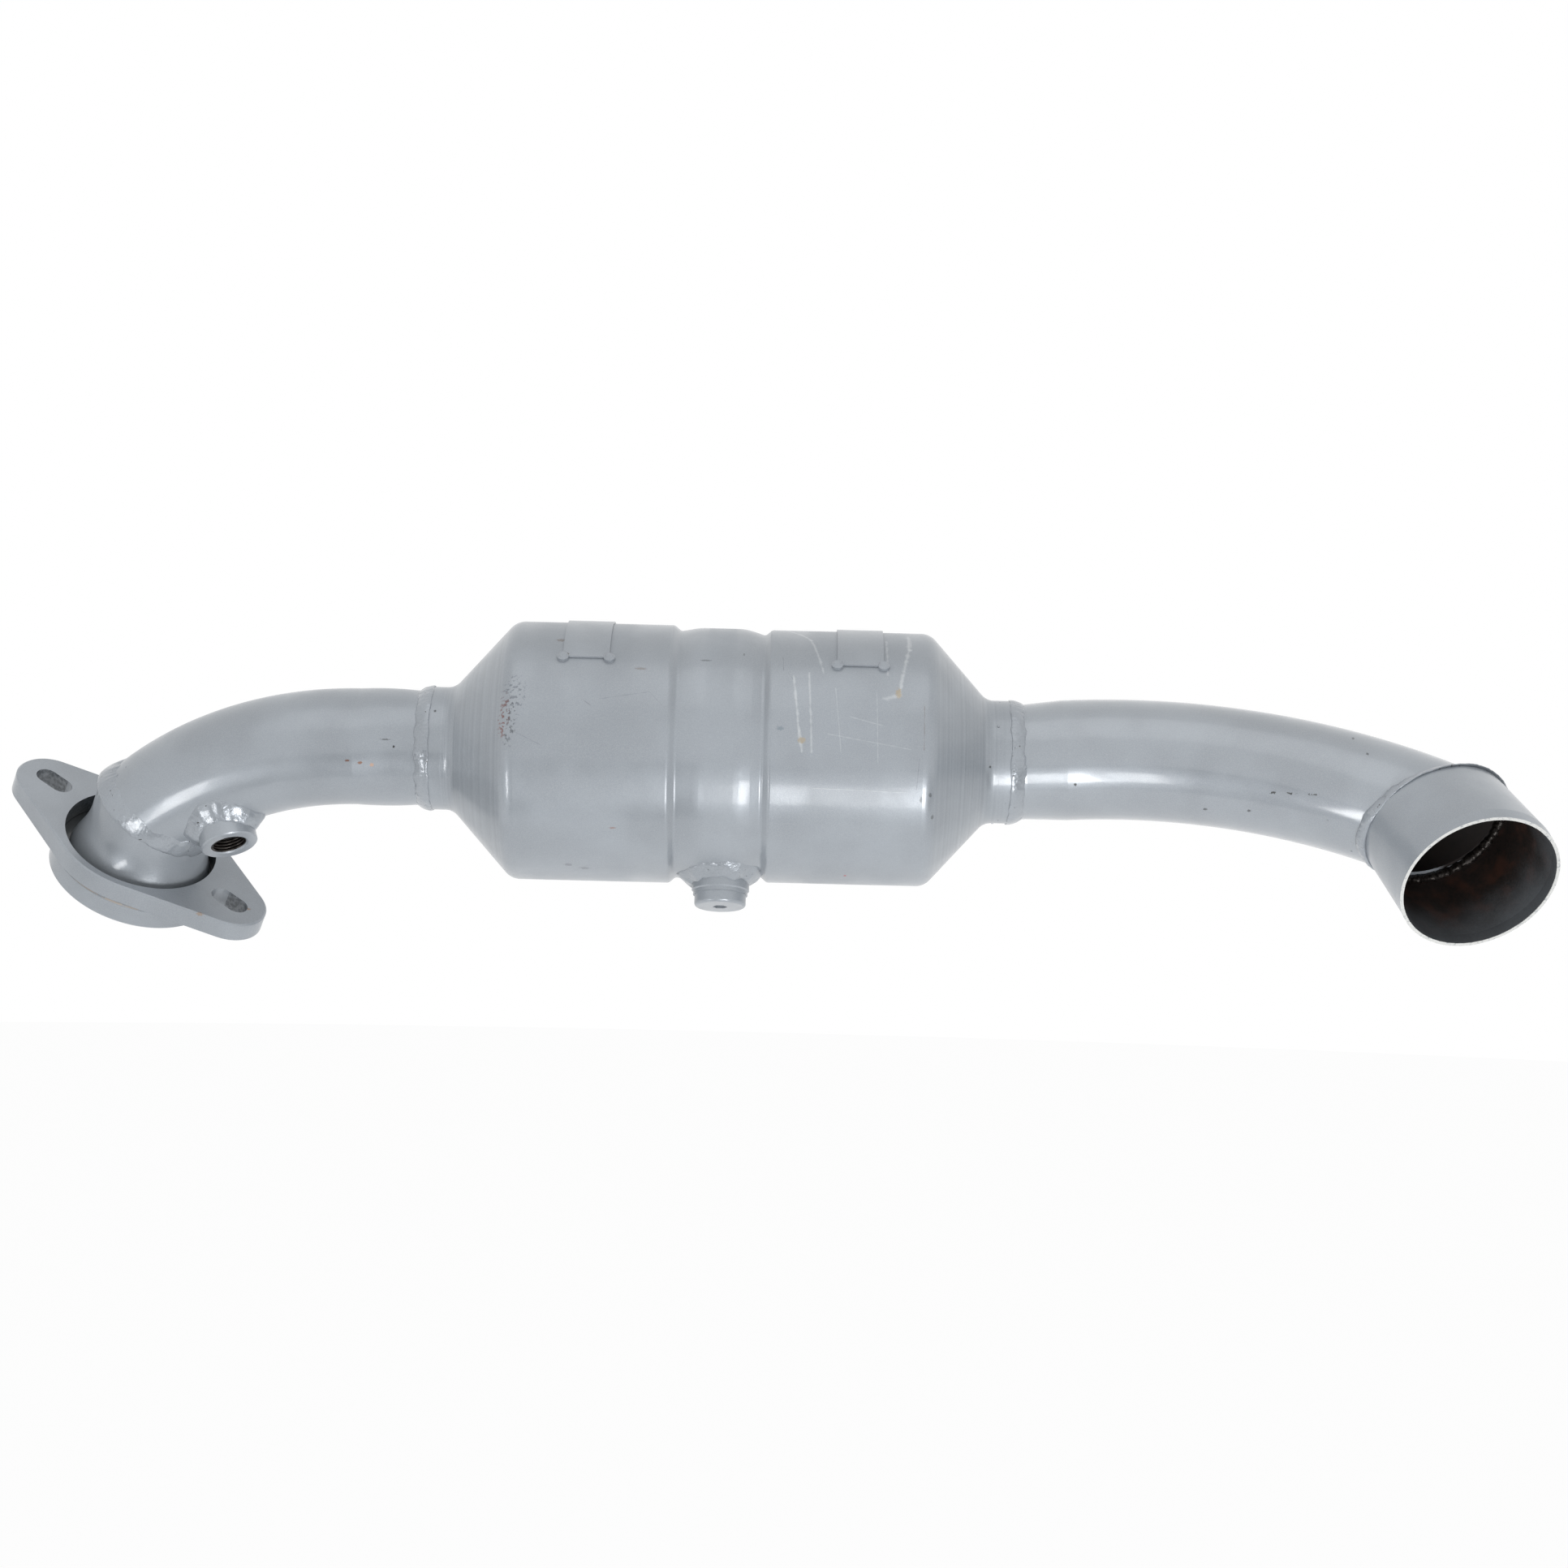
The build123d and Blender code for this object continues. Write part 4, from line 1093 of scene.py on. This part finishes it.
def drops_tree():
    """Drops of metal on a surface: scattered, standing flat on it, of random size."""
    tree, given, output = start_tree("weld_drops", (
        ("Count", "NodeSocketFloat", 1000.0),
        ("Smallest", "NodeSocketFloat", 0.3 * MM),
        ("Largest", "NodeSocketFloat", 0.8 * MM),
        ("Seed", "NodeSocketInt", 1),
        ("Material", "NodeSocketMaterial", None),
    ))
    spread = add(tree, "GeometryNodeDistributePointsOnFaces", {
        "Mesh": given.outputs["Geometry"], "Density": given.outputs["Count"],
        "Seed": given.outputs["Seed"],
    }).node
    ball = add(tree, "GeometryNodeMeshIcoSphere", {"Radius": 1.0, "Subdivisions": 2})
    size = add(tree, "FunctionNodeRandomValue", {
        2: given.outputs["Smallest"], 3: given.outputs["Largest"], "Seed": given.outputs["Seed"],
    }, out=1, data_type="FLOAT")
    flat = add(tree, "ShaderNodeCombineXYZ", {0: 1.0, 1: 1.0, 2: 0.6})
    scale = add(tree, "ShaderNodeVectorMath", {0: flat, "Scale": size}, operation="SCALE")
    placed = add(tree, "GeometryNodeInstanceOnPoints", {
        "Points": spread.outputs["Points"], "Instance": ball,
        "Rotation": spread.outputs["Rotation"], "Scale": scale,
    })
    close_tree(tree, placed, given, output)
    return tree


def thread_tree():
    """A screw thread's ridge, swept along a spiral about local z."""
    tree, given, output = start_tree("thread_ridge", (
        ("Turns", "NodeSocketFloat", THREAD_LENGTH / THREAD_PITCH),
        ("Radius", "NodeSocketFloat", THREAD_RADIUS * MM),
        ("Length", "NodeSocketFloat", THREAD_LENGTH * MM),
        ("Ridge", "NodeSocketFloat", 0.95 * MM),
        ("Material", "NodeSocketMaterial", None),
    ))
    spiral = add(tree, "GeometryNodeCurveSpiral", {
        "Resolution": 64, "Rotations": given.outputs["Turns"],
        "Start Radius": given.outputs["Radius"], "End Radius": given.outputs["Radius"],
        "Height": given.outputs["Length"],
    })
    profile = add(tree, "GeometryNodeCurvePrimitiveCircle", {
        "Resolution": 4, "Radius": given.outputs["Ridge"],
    })
    swept = add(tree, "GeometryNodeCurveToMesh", {
        "Curve": spiral, "Profile Curve": profile, "Fill Caps": True,
    })
    close_tree(tree, swept, given, output)
    return tree


def band_of_faces(name, tree, centre, way, near, far):
    """A strip of faces on a surface beside a joint, on which drops can land."""
    form = bmesh.new()
    rows = []
    for reach in (near, far):
        row = []
        for out, sway in spokes(way, STRIP_STEPS, 0.0):
            start = centre + out * TUBE_CLEAR * MM + way * reach * MM
            row.append(form.verts.new(touch(tree, start, -out)))
        rows.append(row)
    for i in range(STRIP_STEPS):
        j = (i + 1) % STRIP_STEPS
        form.faces.new((rows[0][i], rows[0][j], rows[1][j], rows[1][i]))
    return finished(name, form)


# Operators


# Small marks on the pieces: colour, place and half sizes
ELBOW_MARKS = (
    ("#8A6B5C", (117.9, -67.7, 56.8), (1.6, 3, 0.9)),
    ("#B59A8A", (123.5, -67.0, 55.9), (1.2, 3, 1.2)),
    ("#7A5A50", (112.2, -68.2, 57.7), (1.8, 3, 0.6)),
    ("#2A2C2E", (133.6, -67.8, 64.7), (0.8, 3, 0.8)),
    ("#6A6E72", (129.7, -67.8, 68.0), (3.5, 3, 0.5)),
)
OUTLET_MARKS = (
    ("#4A4C4E", (541.9, -85.5, 53.4), (3.0, 4, 0.8)),
    ("#4A4C4E", (549.6, -88.7, 53.2), (4.0, 4, 0.7)),
    ("#4A4C4E", (559.4, -93.1, 53.1), (3.0, 4, 0.7)),
    ("#3A3C3E", (452.5, -66.9, 54.9), (0.9, 3, 0.9)),
    ("#5A5E62", (513.2, -69.2, 45.0), (1.4, 3, 0.7)),
    ("#5A5E62", (532.5, -76.9, 44.8), (1.4, 3, 0.7)),
    ("#5A5E62", (578.6, -84.3, 79.4), (0.8, 3, 0.8)),
    ("#5A5E62", (583.6, -94.4, 72.3), (0.8, 3, 0.8)),
)
FLANGE_MARKS = (
    ("#94877D", (39.8, -40.0, -16.9), (2.2, 2, 1.2)),
    ("#8F7F74", (59.7, -23.3, -14.7), (2.6, 2, 0.8)),
)
TAB_MARKS = (("#5C5750", (213.5, -84.0, 109.0), (2.5, 3, 2.0)),)


class PaintPart(bpy.types.Operator):
    """Gives every CAD node its finish"""

    bl_idname = "converter.paint_part"
    bl_label = "Paint the part"

    def execute(self, context):
        paint = context.scene.converter_paint
        plain = plain_paint("aluminium_paint", paint)
        brick = brick_ceramic()
        mat = fibre_mat()
        cuff_end = (mouth_point - seam_centre).dot(mouth_heading) / MM + 3.0
        finishes = {
            "converter_shell": shell_paint(paint),
            "outlet_pipe": bend_paint(paint, OUTLET_MARKS),
            "inlet_flange": plate_paint(paint, FLANGE_MARKS),
            "seat_ring": ring_paint(paint),
            "outlet_cuff": tube_paint(
                "aluminium_paint_on_cuff", paint, seam_centre / MM, mouth_heading, cuff_end
            ),
            "inlet_neck": tube_paint(
                "aluminium_paint_on_neck", paint, (0, 0, 0), inlet_heading, 90.0
            ),
            "inlet_pipe": plain_paint("aluminium_paint_on_elbow", paint, ELBOW_MARKS),
            "front_tab": plain_paint("aluminium_paint_on_tab", paint, TAB_MARKS),
            "front_brick": brick,
            "rear_brick": brick,
            "front_mat": mat,
            "rear_mat": mat,
        }
        for name, node in nodes.items():
            node.data.materials.clear()
            node.data.materials.append(finishes.get(name, plain))
        return {"FINISHED"}


def weld_finish(context):
    """The weld paint, made once."""
    made = bpy.data.materials.get("aluminium_paint_on_weld")
    return made or weld_paint(context.scene.converter_paint, NECK_PINHOLE)


def ripple_count(weld):
    """How many ripples a bead has round a tube."""
    return round(TUBE_GIRTH * MM / weld.ripple)


class WeldCollars(bpy.types.Operator):
    """Makes the lumpy welds between the body's collars and the pipes"""

    bl_idname = "converter.weld_collars"
    bl_label = "Weld the collars"

    def execute(self, context):
        weld = context.scene.converter_weld
        for side, pipe, node, seed in (
            (-1, "inlet_pipe", "inlet_body_weld", 3.1),
            (1, "outlet_pipe", "outlet_body_weld", 8.7),
        ):
            tree = surface("converter_shell", pipe)
            centre = body_centre + along * side * body_half
            mesh = seam_bead(
                "lumpy_" + node, tree, centre, along * side, reach=(4.2, 2.6),
                rise=weld.rise / MM * 0.25, ripples=ripple_count(weld), seed=seed, lumps=0.3,
            )
            made = make_piece("lumpy_" + node, mesh, weld_finish(context))
            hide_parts(node)
        return {"FINISHED"}


class WeldNeck(bpy.types.Operator):
    """Makes the mitred weld between the neck and the elbow"""

    bl_idname = "converter.weld_neck"
    bl_label = "Weld the neck"

    def execute(self, context):
        weld = context.scene.converter_weld
        tree = surface("inlet_neck", "inlet_pipe")
        mesh = seam_bead(
            "lumpy_neck_weld", tree, mitre_centre, mitre_heading, reach=(8.0, 1.2),
            rise=weld.rise / MM * 0.35, ripples=ripple_count(weld), seed=5.3, lumps=0.9,
            rough_side=Vector((14, -12, -20)), ripple_height=0.0,
        )
        made = make_piece("lumpy_neck_weld", mesh, weld_finish(context))
        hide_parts("neck_weld")
        return {"FINISHED"}


class WeldCuff(bpy.types.Operator):
    """Makes the oblique weld outside the cuff and its dark root bead inside"""

    bl_idname = "converter.weld_cuff"
    bl_label = "Weld the cuff"

    def execute(self, context):
        weld = context.scene.converter_weld
        tree = surface("outlet_pipe", "outlet_cuff")
        mesh = seam_bead(
            "lumpy_cuff_weld", tree, seam_centre, -seam_heading, reach=(4.2, 1.2),
            rise=weld.rise / MM * 0.4, ripples=round(CUFF_GIRTH * MM / weld.ripple), seed=2.4,
            lumps=0.45,
            blobs=(((588.3, -112.4, 18.2), 7.0, 2.2), ((634.2, -110.7, 63.8), 6.0, 1.0)),
        )
        made = make_piece("lumpy_cuff_weld", mesh, weld_finish(context))
        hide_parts("cuff_weld")
        cuff = surface("outlet_cuff")
        root = root_bead("cuff_root_weld", cuff, seam_centre, seam_heading, seed=4.4)
        make_piece("cuff_root_weld", root, dark_steel("scaled_root_weld", 1.5, 0.4))
        return {"FINISHED"}


class WeldBosses(bpy.types.Operator):
    """Makes the flared welds round the two sensor bosses"""

    bl_idname = "converter.weld_bosses"
    bl_label = "Weld the bosses"

    def execute(self, context):
        inlet_wall = surface("inlet_pipe", "inlet_neck")
        band_wall = surface("converter_shell")
        band_centre = band_boss_foot + band_boss_heading * 0.06
        for name, wall, centre, way, reach, height, seed in (
            ("inlet_bung_weld", inlet_wall, boss_centre, boss_heading, 5.4, 5.2, 6.2),
            ("band_bung_weld", band_wall, band_centre, band_boss_heading, 6.2, 4.0, 1.9),
        ):
            mesh = boss_bead("lumpy_" + name, wall, centre, way, reach, height, seed)
            made = make_piece("lumpy_" + name, mesh, weld_finish(context))
            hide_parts(name)
        return {"FINISHED"}


class CutThreads(bpy.types.Operator):
    """Makes the dark thread inside the open sensor boss"""

    bl_idname = "converter.cut_threads"
    bl_label = "Cut the thread"

    def execute(self, context):
        finish = dark_steel("scaled_cut_thread", 3.0, 0.03)
        mesh = run_tree(
            "inlet_thread", thread_tree(), bpy.data.meshes.new("empty"), {"Material": finish}
        )
        turn = boss_heading.to_track_quat("Z", "Y").to_matrix().to_4x4()
        foot = boss_centre - boss_heading * THREAD_LENGTH / 2 * MM
        mesh.transform(Matrix.Translation(foot) @ turn)
        make_piece("inlet_thread", mesh, finish)
        return {"FINISHED"}


class ScatterSpatter(bpy.types.Operator):
    """Scatters small drops of weld metal beside the welds"""

    bl_idname = "converter.scatter_spatter"
    bl_label = "Scatter spatter"

    def execute(self, context):
        tree = drops_tree()
        finish = weld_finish(context)
        collar = body_centre + along * body_half
        for name, wall, centre, way, near, far, seed in (
            ("inlet_spatter", "inlet_pipe", mitre_centre, mitre_heading, 4, 22, 4),
            ("collar_spatter", "converter_shell", collar, along, -10, -2, 9),
            ("cuff_spatter", "outlet_pipe", seam_centre, -seam_heading, 5, 16, 6),
        ):
            strip = band_of_faces(name, surface(wall), centre, way, near, far)
            area = sum(face.area for face in strip.polygons)
            mesh = run_tree(name, tree, strip, {
                "Count": context.scene.converter_weld.spatter / area,
                "Seed": seed,
                "Material": finish,
            })
            make_piece(name, mesh, finish)
        return {"FINISHED"}


# Black felt on a board, laid in front of the part out of the picture, so that the paint
# has something dark to reflect low down.
def black_felt():
    """Black felt with a fine nap."""
    material, tree = start_material("black_felt")
    place = place_in_mm(tree)
    nap = add(tree, "ShaderNodeTexNoise", {"Vector": place, "Scale": 1 / 1.5, "Detail": 3.0})
    colour = add(tree, "ShaderNodeMix", {
        MASK: nap, UNDER: linear("#1E1E1E"), TOP: linear("#303030"),
    }, out=MIXED, data_type="RGBA")
    felt = add(tree, "ShaderNodeBsdfPrincipled", {"Base Color": colour, "Roughness": 0.95})
    add(tree, "ShaderNodeOutputMaterial", {"Surface": felt})
    return material


# White seamless paper under studio light, matt, shown white with only its shadow.
def floor_paper():
    """White paper that shows white to the camera and keeps a soft shadow."""
    material, tree = start_material("seamless_paper")
    place = place_in_mm(tree)
    pulp = add(tree, "ShaderNodeTexNoise", {"Vector": place, "Scale": 1 / 3.0, "Detail": 4.0})
    fibre = add(tree, "ShaderNodeMapRange", {
        "Value": pulp, "From Min": 0.2, "From Max": 0.8,
    }, interpolation_type="SMOOTHSTEP")
    colour = add(tree, "ShaderNodeMix", {
        MASK: fibre, UNDER: linear("#EFEFEF"), TOP: linear("#F4F4F4"),
    }, out=MIXED, data_type="RGBA")
    paper = add(tree, "ShaderNodeBsdfPrincipled", {"Base Color": colour, "Roughness": 0.9})
    glow = add(tree, "ShaderNodeEmission", {"Color": (1, 1, 1, 1), "Strength": 1.0})
    seen = seen_rays(tree)
    share = add(tree, "ShaderNodeMath", {0: seen, 1: 0.93}, operation="MULTIPLY")
    mixed = add(tree, "ShaderNodeMixShader", {0: share, 1: paper, 2: glow})
    add(tree, "ShaderNodeOutputMaterial", {"Surface": mixed})
    return material


def sheet(name, form, move, material):
    """A flat sheet of the stage, made of a form that is moved into place."""
    mesh = bpy.data.meshes.new(name)
    form.to_mesh(mesh)
    form.free()
    mesh.transform(move)
    mesh.materials.append(material)
    made = bpy.data.objects.new(name, mesh)
    bpy.context.scene.collection.objects.link(made)
    return made


class SetStage(bpy.types.Operator):
    """Makes the floor, the lights, the world and the camera"""

    bl_idname = "converter.set_stage"
    bl_label = "Set the stage"

    def execute(self, context):
        stage = context.scene.converter_stage
        low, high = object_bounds()
        ground = low.z - stage.drop
        form = bmesh.new()
        bmesh.ops.create_circle(form, cap_ends=True, segments=96, radius=FLOOR_RADIUS)
        move = Matrix.Translation((body_centre.x, 0, ground))
        floor = sheet("studio_floor", form, move, floor_paper())
        floor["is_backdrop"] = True
        form = bmesh.new()
        bmesh.ops.create_grid(form, x_segments=1, y_segments=1, size=1.0)
        move = Matrix.Translation((body_centre.x, FLAG_PLACE, ground + FLAG_LIFT))
        flag = sheet("black_flag", form, move @ Matrix.Diagonal((*FLAG_HALF, 1.0, 1.0)), black_felt())
        flag.visible_camera = False
        flag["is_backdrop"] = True
        for name, place, size, power in (
            ("key", (0.25, -1.1, 2.2), (2.6, 1.8), stage.key),
            ("left_box", (-0.50, -0.86, -0.49), (0.16, 0.42), stage.low),
            ("middle_box", (0.34, -0.86, -0.49), (0.14, 0.30), stage.low * 0.3),
            ("right_box", (0.60, -0.86, -0.49), (0.28, 0.36), stage.low * 1.7),
        ):
            lamp = bpy.data.lights.new(name, "AREA")
            lamp.shape = "RECTANGLE"
            lamp.size, lamp.size_y = size
            lamp.energy = power
            stand = bpy.data.objects.new(name, lamp)
            stand.location = place
            stand.visible_camera = False
            aim = body_centre - Vector(place)
            stand.rotation_euler = aim.to_track_quat("-Z", "Y").to_euler()
            context.scene.collection.objects.link(stand)
        world = bpy.data.worlds.new("studio_room")
        context.scene.world = world
        world.use_nodes = True
        tree = world.node_tree
        tree.nodes.clear()
        seen = seen_rays(tree)
        strength = add(tree, "ShaderNodeMapRange", {
            "Value": seen, "From Min": 0, "From Max": 1, "To Min": stage.room, "To Max": 1.0,
        }, interpolation_type="SMOOTHSTEP")
        air = add(tree, "ShaderNodeBackground", {"Color": (1, 1, 1, 1), "Strength": strength})
        add(tree, "ShaderNodeOutputWorld", {"Surface": air})
        camera = bpy.data.cameras.new("camera")
        camera.lens = CAMERA_LENS
        camera.clip_start = 0.05
        camera.clip_end = 40
        eye = bpy.data.objects.new("camera", camera)
        tilt = math.radians(CAMERA_TILT)
        right = Vector((math.cos(tilt), 0, math.sin(tilt)))
        up = Vector((-math.sin(tilt), 0, math.cos(tilt)))
        back = Vector((0, -1, 0))
        eye.matrix_world = Matrix((right, up, back)).transposed().to_4x4()
        eye.location = body_centre + right * CAMERA_RIGHT - up * CAMERA_DOWN + back * CAMERA_DISTANCE
        context.scene.collection.objects.link(eye)
        context.scene.camera = eye
        context.scene.view_settings.view_transform = "Standard"
        return {"FINISHED"}


class ConverterPanel(bpy.types.Panel):
    """Lists the steps and their settings"""

    bl_idname = "VIEW3D_PT_converter"
    bl_label = "Catalytic converter"
    bl_space_type = "VIEW_3D"
    bl_region_type = "UI"
    bl_category = "Converter"

    def draw(self, context):
        for settings in (
            context.scene.converter_paint,
            context.scene.converter_weld,
            context.scene.converter_stage,
        ):
            for key in settings.__annotations__:
                self.layout.prop(settings, key)
        for step in STEPS:
            self.layout.operator(step.bl_idname)


STEPS = (
    PaintPart, WeldCollars, WeldNeck, WeldCuff, WeldBosses, CutThreads, ScatterSpatter, SetStage,
)
CLASSES = (PaintSettings, WeldSettings, StageSettings, *STEPS, ConverterPanel)


def register():
    """Registers the classes and hangs the settings on the scene."""
    for kind in CLASSES:
        bpy.utils.register_class(kind)
    bpy.types.Scene.converter_paint = PointerProperty(type=PaintSettings)
    bpy.types.Scene.converter_weld = PointerProperty(type=WeldSettings)
    bpy.types.Scene.converter_stage = PointerProperty(type=StageSettings)


def unregister():
    """Takes the settings and the classes away again."""
    del bpy.types.Scene.converter_stage
    del bpy.types.Scene.converter_weld
    del bpy.types.Scene.converter_paint
    for kind in reversed(CLASSES):
        bpy.utils.unregister_class(kind)


def main():
    """Builds the whole scene."""
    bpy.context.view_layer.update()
    register()
    for step in STEPS:
        group, name = step.bl_idname.split(".")
        getattr(getattr(bpy.ops, group), name)()


if __name__ == "__main__":
    main()
